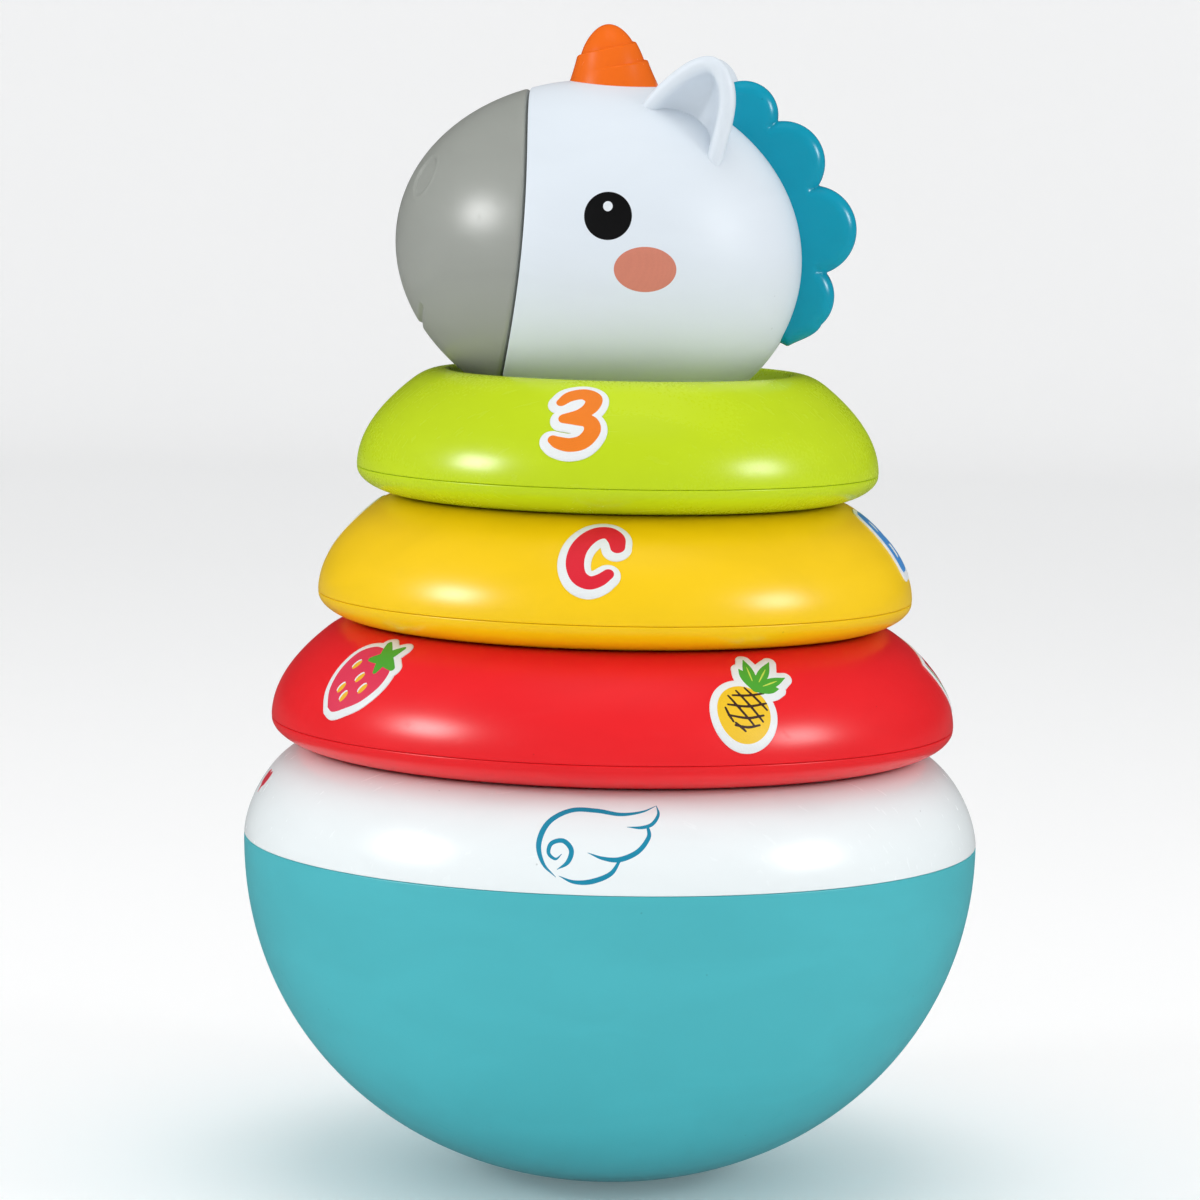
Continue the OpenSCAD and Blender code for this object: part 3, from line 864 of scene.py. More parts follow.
one_art = either(
    stroke([(-3.0, 5.4, 1.3), (-0.6, 6.9, 1.7), (1.7, 8.4, 1.9)]),
    stroke([(1.7, 8.4, 1.9), (0.9, 3.5, 1.95), (0.0, -1.5, 1.95), (-0.7, -5.6, 1.8)]))
c_art = stroke([(5.0, 3.6, 1.7), (4.5, 6.0, 2.0), (2.6, 7.9, 1.85), (0.0, 7.6, 1.95), (-2.4, 5.4, 2.05),
                (-4.0, 2.1, 2.1), (-4.35, -1.6, 2.1), (-3.3, -4.7, 1.9), (-0.9, -6.1, 1.65),
                (1.5, -5.4, 1.55), (3.3, -3.9, 1.35)])
b_art = either(
    stroke([(-1.6, 8.0, 1.9), (-2.7, 3.0, 2.0), (-3.6, -2.0, 2.0), (-4.2, -6.2, 1.8)]),
    stroke([(-1.6, 8.0, 1.8), (1.6, 8.4, 1.8), (4.0, 6.2, 1.9), (3.0, 3.0, 1.8), (-1.5, 1.2, 1.5)]),
    stroke([(-1.5, 1.2, 1.5), (2.4, 0.8, 1.8), (3.8, -2.4, 2.0), (1.4, -5.6, 1.9), (-4.2, -6.2, 1.7)]))
a_art = either(
    stroke([(-5.2, -6.0, 1.7), (-2.6, -0.5, 1.9), (0.4, 4.6, 1.95), (2.0, 8.2, 1.8)]),
    stroke([(2.0, 8.2, 1.8), (2.9, 3.4, 1.95), (3.6, -1.4, 1.9), (4.1, -6.0, 1.7)]),
    stroke([(-2.9, -1.6, 1.4), (0.4, -1.2, 1.5), (3.3, -1.6, 1.4)]))
d_art = either(
    stroke([(-1.8, 8.0, 1.9), (-2.9, 3.0, 2.0), (-3.7, -2.0, 2.0), (-4.4, -6.2, 1.8)]),
    stroke([(-1.8, 8.0, 1.8), (2.2, 7.8, 1.9), (4.6, 4.2, 2.0), (4.0, -1.2, 2.05), (0.6, -5.2, 1.95),
            (-4.4, -6.2, 1.7)]))


def lay_sticker(node, hue, azimuth, along, art):
    """A sticker takes the place of its plain solid, and moves with its ring."""
    curve = flank_curve(ring_r[hue], ring_z[hue])
    piece = printed_sheet(f"{node}_print", art, on_surface(curve, azimuth, along), sticker_t)
    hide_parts(node)
    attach(piece, f"{hue}_ring")


def lay_character(node, hue, azimuth, shape, ink):
    backing = wider(shape, margin, shift=(-0.2, -0.5))
    lay_sticker(node, hue, azimuth, 16.0, [(ink_white, backing), (ink, shape)])


lay_character("sticker_three", "green", -97.4, three_art, ink_orange)
lay_character("sticker_two", "green", 22.6, two_art, ink_blue)
lay_character("sticker_one", "green", 142.6, one_art, ink_red)
lay_character("sticker_c", "yellow", -91.4, c_art, ink_red)
lay_character("sticker_b", "yellow", -4.0, b_art, ink_blue)
lay_character("sticker_a", "yellow", 86.0, a_art, ink_orange)
lay_character("sticker_d", "yellow", 176.0, d_art, ink_leaf)

berry = filled([(-6.9, -7.6), (-9.4, -3.0), (-9.9, 3.0), (-8.0, 8.2), (-3.0, 10.6), (3.0, 8.8),
                (7.2, 4.6), (7.6, -0.2), (4.4, -4.6), (-0.6, -7.2), (-4.4, -8.4)])
leaf_tips = ((-0.5, 12.2), (5.6, 11.2), (7.6, 4.9), (3.0, 3.4), (-1.8, 6.6))
berry_leaf = either(*[stroke([(2.6, 7.6, 1.9), ((2.6 + x) / 2, (7.6 + y) / 2, 1.45), (x, y, 0.7)])
                      for x, y in leaf_tips])
seeds = ((-5.0, 4.4), (-0.6, 1.1), (-5.0, -2.3), (-2.5, -4.3), (2.6, -1.6))
berry_seed = ovals(seeds, 1.5, 0.75, 62)
berry_glint = ovals([(x - 0.45, y + 0.3) for x, y in seeds], 1.5, 0.75, 62)
lay_sticker("sticker_strawberry", "red", -137.0, 15.0, [
    (ink_white, wider(either(berry, berry_leaf), margin, shift=(0.1, -0.2))), (ink_crimson, berry),
    (ink_white, berry_glint), (ink_seed, berry_seed), (ink_leaf, berry_leaf)])

pine = oval(-2.6, -2.0, 6.4, 7.3, -14)
crown_foot = (1.9, 4.3)
crown_tips = ((-0.3, 10.3), (1.9, 13.2), (8.2, 12.0), (10.6, 7.0), (7.9, 4.0))


def up_leaf(tip, near, far, half_width):
    """A place on a leaf of the crown, between its foot and its tip."""
    return crown_foot[0] * near + tip[0] * far, crown_foot[1] * near + tip[1] * far, half_width


pine_crown = either(*[stroke([(*crown_foot, 0.9), up_leaf(tip, 0.45, 0.55, 1.35), (*tip, 0.12)])
                      for tip in crown_tips])
pine_vein = either(*[stroke([up_leaf(tip, 0.75, 0.25, 0.1), up_leaf(tip, 0.5, 0.5, 0.2),
                             up_leaf(tip, 0.28, 0.72, 0.08)]) for tip in crown_tips[1:4]])
pine_cuts = (((-0.7, 4.7), (1.3, 1.6), (3.2, -1.4)), ((-3.0, 4.0), (-0.9, 0.2), (1.5, -4.2)),
             ((-5.3, 2.7), (-3.3, -1.0), (-1.0, -4.8)), ((-6.8, -0.4), (-6.4, -2.2), (-5.7, -3.9)),
             ((-5.2, -4.2), (-4.2, -5.2), (-3.2, -6.3)), ((-4.2, 2.8), (-0.3, 2.6), (3.6, 3.0)),
             ((-6.0, 0.4), (-1.3, -0.3), (3.4, 0.3)), ((-6.5, -2.3), (-2.0, -3.2), (2.0, -2.7)),
             ((-5.4, -4.8), (-2.4, -5.4), (0.5, -5.0)))
pine_lines = either(*[stroke([(*a, 0.26), (*b, 0.32), (*c, 0.26)], 4) for a, b, c in pine_cuts])
pine_back = wider(either(pine, pine_crown), margin, shift=(0, -0.2))
lay_sticker("sticker_pineapple", "red", -63.0, 14.0, [
    (ink_white, pine_back), (ink_pine, pine), (ink_brown, pine_lines), (ink_leaf, pine_crown),
    (ink_leaf_pale, pine_vein)])

slice_all, slice_pale, slice_flesh = [
    both(oval(-1.0, 4.5, rx, ry), lambda x, y: 5.5 + 0.25 * x - y)
    for rx, ry in ((11.5, 14.0), (10.1, 12.6), (9.2, 11.7))]
pips = ((-5.2, 2.0), (-1.2, 2.4), (3.0, 3.4), (-3.2, -1.4), (1.0, -1.2), (-1.2, -4.6))
slice_pips = either(*[oval(x, y, 0.55, 0.95, 8 * x) for x, y in pips])
lay_sticker("sticker_melon", "red", 5.5, 14.5, [
    (ink_white, wider(slice_all, plain_margin)), (ink_rind, slice_all), (ink_white, slice_pale),
    (ink_melon, slice_flesh), (ink_brown, slice_pips)])

apple = either(oval(-3.4, -1.2, 5.6, 7.6, 8), oval(3.4, -1.2, 5.6, 7.6, -8))
apple_stalk = stroke([(0.0, 4.6, 0.55), (0.3, 7.0, 0.5), (1.3, 9.2, 0.6)])
apple_leaf = stroke([(0.6, 7.0, 0.2), (3.2, 8.4, 1.5), (6.2, 8.2, 0.2)])
apple_glint = stroke([(-6.4, 0.6, 0.5), (-5.6, 2.8, 0.6), (-3.8, 4.2, 0.4)])
apple_back = wider(either(apple, apple_stalk, apple_leaf), plain_margin)
lay_sticker("sticker_apple", "red", 81.0, 14.0, [
    (ink_white, apple_back), (ink_apple, apple), (ink_white, apple_glint), (ink_brown, apple_stalk),
    (ink_leaf, apple_leaf)])

orange = oval(0, -0.8, 8.4, 8.2)
orange_pulp = oval(0, -0.8, 7.0, 6.8)
orange_webs = either(oval(0, -0.8, 1.0, 1.0), *[
    stroke([(0, -0.8, 0.5), (7.2 * math.cos(a), -0.8 + 7.0 * math.sin(a), 0.42)], 2)
    for a in np.radians(np.arange(0, 360, 45) + 12)])
lay_sticker("sticker_orange", "red", 153.0, 14.0, [
    (ink_white, wider(orange, plain_margin)), (ink_orange, orange), (ink_seed, orange_pulp),
    (ink_white, both(orange_webs, wider(orange_pulp, 0.2)))])


# ---------- prints on the cover ----------
# A line drawing of a wing and a small heart, pad printed on the cover in one thin film each.

film_t = 0.03
print_teal = vinyl("print_teal", (0.001, 0.265, 0.43))
print_red = vinyl("print_red", (0.72, 0.03, 0.06))
wing = either(
    stroke([(-9.6, 3.9, 0.05), (-12.6, 6.9, 0.4), (-13.7, 11.5, 0.62), (-11.6, 16.8, 0.62),
            (-6.6, 20.2, 0.62), (-1.0, 20.3, 0.6), (4.4, 19.4, 0.48), (9.2, 20.2, 0.28),
            (12.4, 22.0, 0.06)]),
    stroke([(12.4, 22.0, 0.06), (12.9, 19.4, 0.34), (11.6, 16.9, 0.46), (9.2, 16.0, 0.4),
            (6.0, 16.1, 0.05)]),
    stroke([(10.6, 16.3, 0.3), (10.9, 13.6, 0.5), (8.6, 10.2, 0.58), (4.6, 8.3, 0.6), (0.8, 8.5, 0.4),
            (-2.6, 9.7, 0.05)]),
    stroke([(4.6, 8.0, 0.3), (2.6, 5.0, 0.52), (-1.6, 3.2, 0.58), (-5.6, 3.0, 0.4), (-8.9, 4.2, 0.05)]),
    stroke([(-9.4, 5.6, 0.05), (-7.0, 7.4, 0.5), (-6.3, 10.2, 0.56), (-8.2, 12.3, 0.56),
            (-10.8, 11.6, 0.5), (-11.4, 9.3, 0.42), (-9.8, 8.0, 0.3), (-8.4, 9.2, 0.05)]))
wing_middle = 12.5
cover_curve = shoulder_curve(0, 300)
wing_place = on_surface(cover_curve, -88.7, wing_middle)
wing_print = printed_sheet("wing_print", [(print_teal, wider(wing, 0, shift=(0, -wing_middle)))],
                           wing_place, film_t, step=0.1)
heart = either(oval(-1.5, 0.9, 2.0, 2.3, 35), oval(1.5, 0.9, 2.0, 2.3, -35),
               stroke([(0, 0.2, 1.9), (0, -1.6, 1.0), (0, -3.0, 0.25)]))
heart_place = on_surface(cover_curve, -169.4, 14.0)
heart_print = printed_sheet("heart_print", [(print_red, heart)], heart_place, film_t, step=0.12, extent=6.0)
for drawn in (wing_print, heart_print):
    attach(drawn, "base")


# ---------- head shells ----------
# The head is an egg on its side. Two satin white shells meet on its middle plane behind the
# muzzle, and are screwed down on the neck through bosses inside.

head_r = 41.25
head_front = 52.0
head_back = 45.8
head_x = -2.4
head_z = 221.4
head_tilt = math.radians(8.25)
head_wall = 2.4
joint_x = -25.34
joint_tilt = math.radians(4.48)
joint_sweep = 189.0
joint_gap = 0.6
neck_top = 187.3
edge_roll = 0.45
half_gap = 0.05


def egg(s, turn, deep=0.0):
    """Points of the egg. S runs from -90 degrees at the nose to 90 at the back, turn goes round the
    long axis from the top, and deep is the depth below the surface."""
    half = np.where(s < 0, head_front, head_back) - deep
    along = half * np.sin(s)
    across = (head_r - deep) * np.cos(s)
    z = across * np.cos(turn)
    x = head_x + along * math.cos(head_tilt) + z * math.sin(head_tilt)
    up = head_z - along * math.sin(head_tilt) + z * math.cos(head_tilt)
    return np.stack([x, across * np.sin(turn), up], axis=-1)


def in_egg(x, z):
    """A place seen from the side, as distances along and across the egg's long axis, and the half
    length of the egg on that side."""
    dx = x - head_x
    dz = z - head_z
    along = dx * math.cos(head_tilt) - dz * math.sin(head_tilt)
    across = dx * math.sin(head_tilt) + dz * math.cos(head_tilt)
    return along, across, np.where(along < 0, head_front, head_back)


def past_joint(points):
    """How far points are in front of the muzzle's joint, which sweeps back at the cheeks."""
    axis = np.array((math.sin(joint_tilt), 0, math.cos(joint_tilt)))
    away = points - np.array((joint_x + joint_sweep, 0, head_z))
    away = away - (away @ axis)[..., None] * axis
    return np.linalg.norm(away, axis=-1) - joint_sweep


def joint_line(turn, shift):
    """The s at which the egg meets the joint, moved forward by shift."""
    low = np.full(turn.shape, -math.pi / 2)
    high = np.full(turn.shape, math.radians(20))
    for _ in range(40):
        middle = (low + high) / 2
        front = past_joint(egg(middle, turn)) > shift
        low = np.where(front, middle, low)
        high = np.where(front, high, middle)
    return (low + high) / 2


def s_rate(s):
    """Millimetres of surface for each radian of s."""
    half = np.where(s < 0, head_front, head_back)
    return np.hypot(half * np.cos(s), head_r * np.sin(s))


def grid_mesh(name, rows, finish, wrap_rows=False, wrap_columns=False, crease=38.0):
    """A mesh from a grid of points; wrapping joins its last row or column to its first."""
    rows = np.array(rows)
    many, wide = rows.shape[:2]
    numbers = np.arange(many * wide).reshape(many, wide)
    if wrap_rows:
        numbers = np.vstack([numbers, numbers[:1]])
    if wrap_columns:
        numbers = np.hstack([numbers, numbers[:, :1]])
    faces = np.stack([numbers[:-1, :-1], numbers[1:, :-1], numbers[1:, 1:], numbers[:-1, 1:]], axis=-1)
    mesh = bpy.data.meshes.new(name)
    fill_mesh(mesh, rows.reshape(-1, 3), faces.reshape(-1, 4))
    mesh.materials.append(finish)
    work = bmesh.new()
    work.from_mesh(mesh)
    bmesh.ops.remove_doubles(work, verts=work.verts, dist=0.000002)
    bmesh.ops.dissolve_degenerate(work, edges=work.edges, dist=0.0000005)
    open_edges = [e for e in work.edges if e.is_boundary]
    if open_edges:
        bmesh.ops.holes_fill(work, edges=open_edges, sides=0)
    work.to_mesh(mesh)
    work.free()
    tidy_mesh(mesh, crease)
    return mesh


def cut_below(mesh, height):
    """Saws a moulding off flat at a height and closes the cut."""
    work = bmesh.new()
    work.from_mesh(mesh)
    everything = list(work.verts) + list(work.edges) + list(work.faces)
    plane = {"plane_co": (0, 0, height * MM), "plane_no": (0, 0, -1)}
    bmesh.ops.bisect_plane(work, geom=everything, clear_outer=True, **plane)
    bmesh.ops.holes_fill(work, edges=[e for e in work.edges if e.is_boundary], sides=0)
    work.to_mesh(mesh)
    work.free()
    tidy_mesh(mesh)


def head_half(side):
    """Outer skin from the joint to the back, rolled in at its edges, then the inner skin back."""
    turn = side * np.radians(np.r_[0, 0.25, 0.7, np.linspace(1.5, 178.5, 118), 179.3, 179.75, 180])
    edge = joint_line(turn, -joint_gap / 2)
    rows = []
    for a in np.radians((0, 18, 36, 54, 72, 90)):
        rolled = edge + edge_roll * (1 - math.cos(a)) / s_rate(edge)
        rows.append(egg(rolled, turn, edge_roll * (1 - math.sin(a))))
    start = edge + edge_roll / s_rate(edge)
    for t in np.linspace(0, 1, 111)[1:]:
        rows.append(egg(start + (math.pi / 2 - start) * t, turn))
    for t in np.linspace(0, 1, 40):
        rows.append(egg(math.pi / 2 + (edge - math.pi / 2) * t, turn, head_wall))
    rows = np.array(rows)
    rows[..., 1] = side * np.maximum(side * rows[..., 1], half_gap)
    for column, sink in ((0, 0.14), (1, 0.05), (-2, 0.05), (-1, 0.14)):
        lift = rows[:, column] - np.array((head_x, 0, head_z))
        reach = np.linalg.norm(lift, axis=-1, keepdims=True)
        rows[:, column] -= lift / reach * sink
    return rows


head_white = moulded("head_white", (0.72, 0.785, 0.85), 0.45, ripple=0.35, grain=0.25, scuff=0.03,
                     flow=0.01)
for side, word in ((-1, "left"), (1, "right")):
    mesh = grid_mesh(f"head_shell_{word}_skin", head_half(side), head_white, wrap_rows=True)
    cut_below(mesh, neck_top)
    piece = new_piece(f"head_shell_{word}_skin", mesh)
    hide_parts(f"head_shell_{word}")
    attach(piece, "head")


# ---------- eyes and cheeks ----------
# Eyes and cheeks are pad printed on both sides of the head, the eye in two passes.


def on_head(x, z, side):
    """Lays flat points on the egg as seen from the side."""

    def place(s, t, height):
        along, across, half = in_egg(x + s, z + t)
        y = np.sqrt(head_r ** 2 * (1 - (along / half) ** 2) - across ** 2)
        lean = np.stack([along * head_r ** 2 / half ** 2, y, across], axis=1)
        lean /= np.linalg.norm(lean, axis=1)[:, None]
        out_x = lean[:, 0] * math.cos(head_tilt) + lean[:, 2] * math.sin(head_tilt)
        out_z = -lean[:, 0] * math.sin(head_tilt) + lean[:, 2] * math.cos(head_tilt)
        out_y = y + lean[:, 1] * height
        return np.stack([x + s + out_x * height, side * out_y, z + t + out_z * height], axis=1)

    return place


ink_black = vinyl("print_black", (0.004, 0.004, 0.005))
ink_glint = vinyl("print_glint", (0.75, 0.8, 0.84))
ink_cheek = vinyl("print_cheek", (0.66, 0.225, 0.15))
eye_art = [(ink_black, oval(0, 0, 5.5, 5.5)), (ink_glint, oval(-0.1, 2.2, 1.1, 1.15))]
cheek_art = [(ink_cheek, oval(0, 0, 7.15, 5.2))]
for side, word in ((-1, "left"), (1, "right")):
    eye = printed_sheet(f"eye_{word}", eye_art, on_head(-1.5, 231.5, side), film_t, extent=7.0)
    cheek = printed_sheet(f"cheek_{word}", cheek_art, on_head(7.3, 219.4, side), film_t, extent=8.5)
    for drawn in (eye, cheek):
        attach(drawn, "head")


# ---------- muzzle ----------
# The muzzle is one gloss grey moulding that plugs into the head shells. Its edge stands a hair's
# breadth off them, and shallow nostrils and a smile are sunk in its front.

nostril_y = 15.2
nostril_z = 239.3
nostril_turn = math.radians(32)
nostril_wide = 3.1
nostril_tall = 4.6
smile_low = 203.6
smile_reach = 15.9
smile_rise = 5.1
smile_width = 0.55
muzzle_roll = 0.9
tongue_depth = 4.2


def sunk(points):
    """Depth of the nostrils and the smile at points of the muzzle's skin."""
    y = np.abs(points[..., 1])
    z = points[..., 2]
    front = points[..., 0] < -30
    c, s = math.cos(nostril_turn), math.sin(nostril_turn)
    u = (y - nostril_y) * c + (z - nostril_z) * s
    v = (z - nostril_z) * c - (y - nostril_y) * s
    oval_depth = (1 - np.hypot(u / nostril_wide, v / nostril_tall)) * nostril_wide
    bed = 0.42 / (1 + np.exp(-oval_depth / 0.14))
    rim = 0.16 * np.exp(-((oval_depth + 0.55) / 0.35) ** 2)
    smile_z = smile_low + smile_rise * (y / smile_reach) ** 2
    slope = 2 * smile_rise * y / smile_reach ** 2
    off = (z - smile_z) / np.hypot(1, slope)
    past = np.clip((y - smile_reach) / 0.9, 0, None)
    groove = 0.75 * np.exp(-((off ** 2 + past ** 2) / smile_width ** 2))
    return np.where(front, bed - rim + groove, 0.0)


def muzzle_grid():
    turn = np.radians(np.linspace(0, 360, 400, endpoint=False))
    edge = joint_line(turn, joint_gap / 2)
    rows = []
    start = edge - muzzle_roll / s_rate(edge)
    steps = np.r_[np.linspace(0, 0.16, 12), np.linspace(0.16, 0.66, 120)[1:], np.linspace(0.66, 1, 34)[1:]]
    for t in steps:
        s = -math.pi / 2 + (start + math.pi / 2) * t
        rows.append(egg(s, turn, sunk(egg(s, turn))))
    for a in np.radians((75, 60, 45, 30, 15, 0)):
        rolled = edge - muzzle_roll * (1 - math.cos(a)) / s_rate(edge)
        rows.append(egg(rolled, turn, 0.55 * (1 - math.sin(a))))
    back = edge + 3.6 / s_rate(edge)
    inside = edge - 4.0 / s_rate(edge)
    rows += [egg(edge, turn, 2.55), egg(back, turn, 2.6)]
    rows += [egg(back, turn, tongue_depth), egg(inside, turn, tongue_depth)]
    rows.append(egg(inside, turn, head_wall))
    for t in np.linspace(0, 1, 40)[1:]:
        rows.append(egg(inside + (-math.pi / 2 - inside) * t, turn, head_wall))
    return rows


muzzle_grey = moulded("muzzle_grey", (0.325, 0.34, 0.312), 0.31, ripple=0.45, scuff=0.05, flow=0.02)
mesh = grid_mesh("muzzle_skin", muzzle_grid(), muzzle_grey, wrap_columns=True)
cut_below(mesh, neck_top)
muzzle = new_piece("muzzle_skin", mesh)
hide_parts("muzzle")
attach(muzzle, "head")


# ---------- horn ----------
# The horn is a gloss orange moulding with a ledge that winds up it, clipped in a hole in the head.

horn_at = np.array((-3.3, 0.0, 262.2))
horn_lean = math.radians(-5.5)
horn_r = 10.4
horn_h = 13.85
horn_pitch = 4.5
horn_ledge = 0.4
horn_foot = -2.5
horn_straight = 11.5
ledge_start = 3.55


def horn_grid():
    turn = np.radians(np.linspace(0, 360, 256, endpoint=False))
    around = ((turn + math.pi / 2) % (2 * math.pi)) / (2 * math.pi)

    def ledge_at(turns):
        """How high the ledge stands after so many turns from the front."""
        return np.clip((turns + 0.06) / 0.16, 0, 1) * np.clip((1.42 - turns) / 0.2, 0, 1)

    tip = horn_h * np.sin(np.linspace(math.asin(horn_straight / horn_h), math.pi / 2, 24))
    heights = np.r_[np.linspace(horn_foot, horn_straight, 170), tip[1:]]
    rows = []
    for z in heights:
        r = horn_r * math.sqrt(max(0.0, 1 - z / horn_h))
        climb = (z - ledge_start) / horn_pitch - around
        winds = np.floor(climb)
        part = climb - winds
        below = ledge_at(around + winds)
        above = ledge_at(around + winds + 1)
        rest = np.clip((part - 0.94) / 0.06, 0, 1)
        swell = above * part ** 2 * np.sqrt(1 - rest ** 2) - below * (1 - part) ** 2
        wall = r + horn_ledge * swell
        if z >= horn_h - 1e-6:
            wall = wall * 0
        x, y = wall * np.cos(turn), wall * np.sin(turn)
        c, s = math.cos(horn_lean), math.sin(horn_lean)
        rows.append(np.stack([horn_at[0] + x * c + z * s, y, horn_at[2] - x * s + z * c], axis=-1))
    return rows


horn_orange = moulded("horn_orange", (0.89, 0.15, 0.006), 0.24, ripple=0.3, scuff=0.03)
mesh = grid_mesh("horn_moulding", horn_grid(), horn_orange, wrap_columns=True, crease=75.0)
horn = new_piece("horn_moulding", mesh)
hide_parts("horn")
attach(horn, "head")


# ---------- ears ----------
# Each ear is half of a thin cup with a rolled rim, pegged into the head behind the horn.


def blended(a, b, width):
    """The lesser of two fields, with the corner between them rounded off."""
    mix = np.clip(0.5 + 0.5 * (b - a) / width, 0, 1)
    return b * (1 - mix) + a * mix - width * mix * (1 - mix)


def carved(name, field, low, high, step, finish, crease=50.0):
    """A closed mesh on the zero of a field, from a block of cells. Its points are drawn on to the
    surface along the field's slope."""
    axes = [np.arange(a, b + step, step) for a, b in zip(low, high)]
    grid = np.stack(np.meshgrid(*axes, indexing="ij"), axis=-1)
    values = field(grid)
    inside = values > 0
    shape = values.shape
    corners = [(i, j, k) for i in (0, 1) for j in (0, 1) for k in (0, 1)]
    cut = [slice(0, n - 1) for n in shape]

    def corner(array, at):
        return array[tuple(slice(c.start + d, c.stop + d) for c, d in zip(cut, at))]

    total = sum(corner(inside, at).astype(int) for at in corners)
    live = (total > 0) & (total < 8)
    sums = np.zeros(live.shape + (3,))
    hits = np.zeros(live.shape)
    for at in corners:
        for axis in range(3):
            if at[axis]:
                continue
            to = tuple(d + (1 if n == axis else 0) for n, d in enumerate(at))
            va, vb = corner(values, at), corner(values, to)
            crosses = (va > 0) != (vb > 0)
            t = np.where(crosses, va / np.where(crosses, va - vb, 1), 0)
            where = corner(grid, at) + 0.0
            where[..., axis] += t * step
            sums += where * crosses[..., None]
            hits += crosses
    numbers = np.full(live.shape, -1)
    numbers[live] = np.arange(live.sum())
    points = sums[live] / hits[live][:, None]
    faces = []
    for axis in range(3):
        one, two = [n for n in range(3) if n != axis]
        span = [slice(1, n - 1) for n in shape]
        span[axis] = slice(0, shape[axis] - 1)
        first = inside[tuple(span)]
        span[axis] = slice(1, shape[axis])
        second = inside[tuple(span)]
        where = np.argwhere(first != second)
        leaving = first[tuple(where.T)]
        cells = []
        for d1, d2 in ((0, 0), (1, 0), (1, 1), (0, 1)):
            cell = where.copy()
            cell[:, one] += d1
            cell[:, two] += d2
            cells.append(numbers[tuple(cell.T)])
        quads = np.stack(cells, axis=1)
        flip = leaving if axis != 1 else ~leaving
        quads[~flip] = quads[~flip][:, ::-1]
        faces.append(quads)
    faces = np.vstack(faces)
    tiny = 0.02
    for _ in range(4):
        slope = np.stack([(field(points + d) - field(points - d)) / (2 * tiny)
                          for d in np.eye(3) * tiny], axis=-1)
        size = np.clip((slope ** 2).sum(axis=-1), 0.2, None)
        points = points - slope * (np.clip(field(points), -step, step) / size)[:, None]
    mesh = bpy.data.meshes.new(name)
    fill_mesh(mesh, points, faces)
    mesh.materials.append(finish)
    tidy_mesh(mesh, crease)
    return mesh


def egg_depth(points):
    """How far points are outside the egg, near its surface."""
    along, across, half = in_egg(points[..., 0], points[..., 2])
    return (np.sqrt((along / half) ** 2 + (points[..., 1] ** 2 + across ** 2) / head_r ** 2) - 1) * head_r


ear_at = np.array((12.5, -22.8, 250.0))
ear_depth = 11.6
ear_wall = 3.9
ear_reach = 11.3
ear_side = [(-12.6, -0.5), (-10.4, 4.9), (-8.1, 9.6), (-5.2, 13.8), (-2.1, 17.4), (1.4, 19.8),
            (4.6, 20.3), (7.9, 18.7), (10.5, 15.3), (12.0, 11.2), (12.6, 6.4), (12.7, 1.4), (12.5, -4.0),
            (11.0, -10.5), (0.0, -13.0), (-11.0, -9.0)]
ear_turn = Matrix.Rotation(math.radians(-21), 3, "Z") @ Matrix.Rotation(math.radians(15), 3, "Y")
ear_axes = np.array(ear_turn)
in_head = 1.4
ear_plan_step = 0.25
ear_plan_axis = np.arange(-24, 24 + ear_plan_step, ear_plan_step)
ear_plan_grid = filled(ear_side)(*np.meshgrid(ear_plan_axis, ear_plan_axis, indexing="ij"))


def ear_plan(places):
    """Depth inside the ear's side outline, read between the points of a fine grid."""
    at = np.clip((places - ear_plan_axis[0]) / ear_plan_step, 0, len(ear_plan_axis) - 1.001)
    i, j = np.floor(at).astype(int).T
    u, v = (at - np.floor(at)).T
    g = ear_plan_grid
    near = g[i, j] * (1 - u) + g[i + 1, j] * u
    far = g[i, j + 1] * (1 - u) + g[i + 1, j + 1] * u
    return near * (1 - v) + far * v


def ear_field(points):
    local = (points - ear_at) @ ear_axes
    x, y, z = local[..., 0], local[..., 1], local[..., 2]
    edge = ear_plan(np.stack([x.ravel(), z.ravel()], axis=1)).reshape(x.shape)

    def cup(inset, depth):
        fall = 1 - np.sqrt(np.clip(1 - (y / depth) ** 2, 0, 1)) + np.clip(np.abs(y) / depth - 1, 0, None)
        return edge - inset - (ear_reach - inset) * fall

    shell = blended(cup(0.0, ear_depth), -cup(ear_wall, ear_depth - ear_wall), 1.4)
    shell = blended(shell, y, 2.2)
    return np.minimum(shell, egg_depth(points) + in_head)


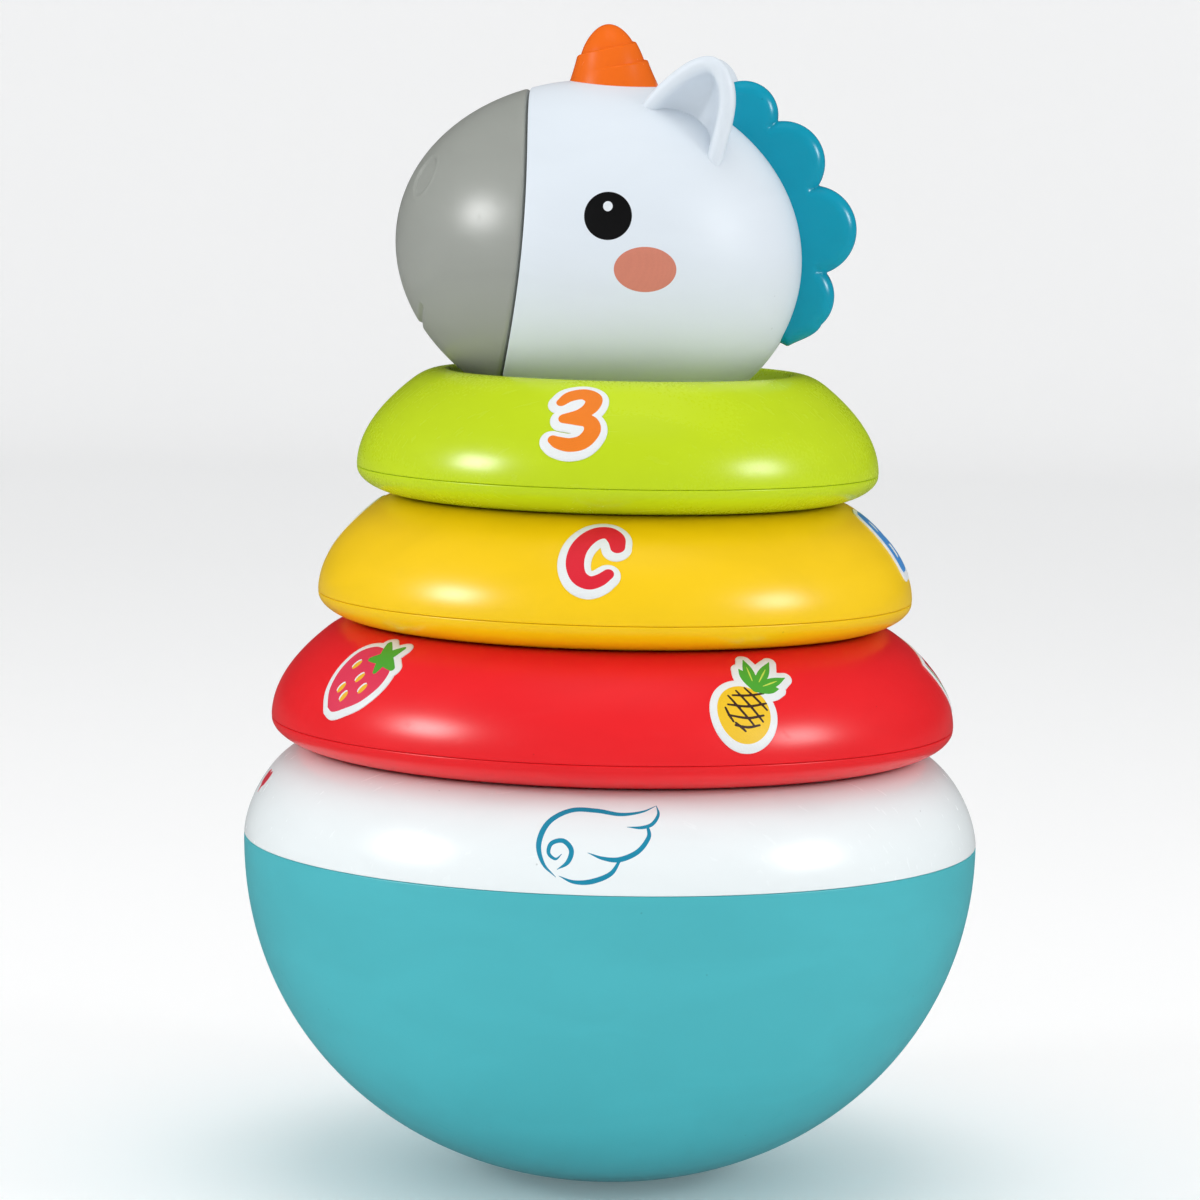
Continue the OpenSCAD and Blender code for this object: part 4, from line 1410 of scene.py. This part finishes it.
ear_low = ear_at + np.array((-17, -16, -14))
ear_high = ear_at + np.array((19, 17, 22))
ear_mesh = carved("ear_left_cup", ear_field, ear_low, ear_high, 0.4, head_white)
other_ear = ear_mesh.copy()
other_ear.name = "ear_right_cup"
other_ear.transform(Matrix.Diagonal((1, -1, 1, 1)))
tidy_mesh(other_ear, 50.0)
for mesh, word in ((ear_mesh, "left"), (other_ear, "right")):
    piece = new_piece(f"ear_{word}_cup", mesh)
    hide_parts(f"ear_{word}")
    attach(piece, "head")


# ---------- mane ----------
# The mane is a solid gloss teal crest with four rounded lobes. A tongue on it is held between the
# two head shells.

mane_t = 11.0
mane_lobes = ((28.3, 255.2, 8.1), (37.8, 244.0, 10.0), (45.1, 228.3, 10.6), (41.9, 212.5, 8.9))
mane_edge = 3.2
mane_middle = filled([(22, 248), (29, 256), (35.2, 252.8), (45.2, 238.4), (47.4, 218.6), (44, 208),
                      (36, 205), (28, 212)])
mane_tail = filled([(40.0, 200.6), (47.6, 205.3), (48.0, 214.0), (34.0, 214.0), (30.0, 206.0)])


def mane_field(points):
    x, z = points[..., 0], points[..., 2]
    crest = np.max([r - np.hypot(x - cx, z - cz) for cx, cz, r in mane_lobes], axis=0)
    crest = np.maximum(crest, 1.6 * mane_middle(x, z))
    crest = np.maximum(crest, mane_tail(x, z))
    side = mane_t / 2 - np.abs(points[..., 1])
    a = np.clip(mane_edge - crest, 0, None)
    b = np.clip(mane_edge - side, 0, None)
    rounded = mane_edge - np.hypot(a, b)
    rounded = np.where((crest > mane_edge) & (side > mane_edge), np.minimum(crest, side), rounded)
    return np.minimum(rounded, egg_depth(points) + in_head)


mane_teal = moulded("mane_teal", (0.001, 0.31, 0.455), 0.24, ripple=0.4, scuff=0.03)
mane_mesh = carved("mane_crest", mane_field, (14, -6.5, 197), (58, 6.5, 266), 0.5, mane_teal)
mane = new_piece("mane_crest", mane_mesh)
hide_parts("mane")
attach(mane, "head")


# ---------- neck ----------
# A white socket with four screws closes the head below and slides over the post.

repaint(post_white, "neck_socket")
repaint(screw_steel, "neck_screws")
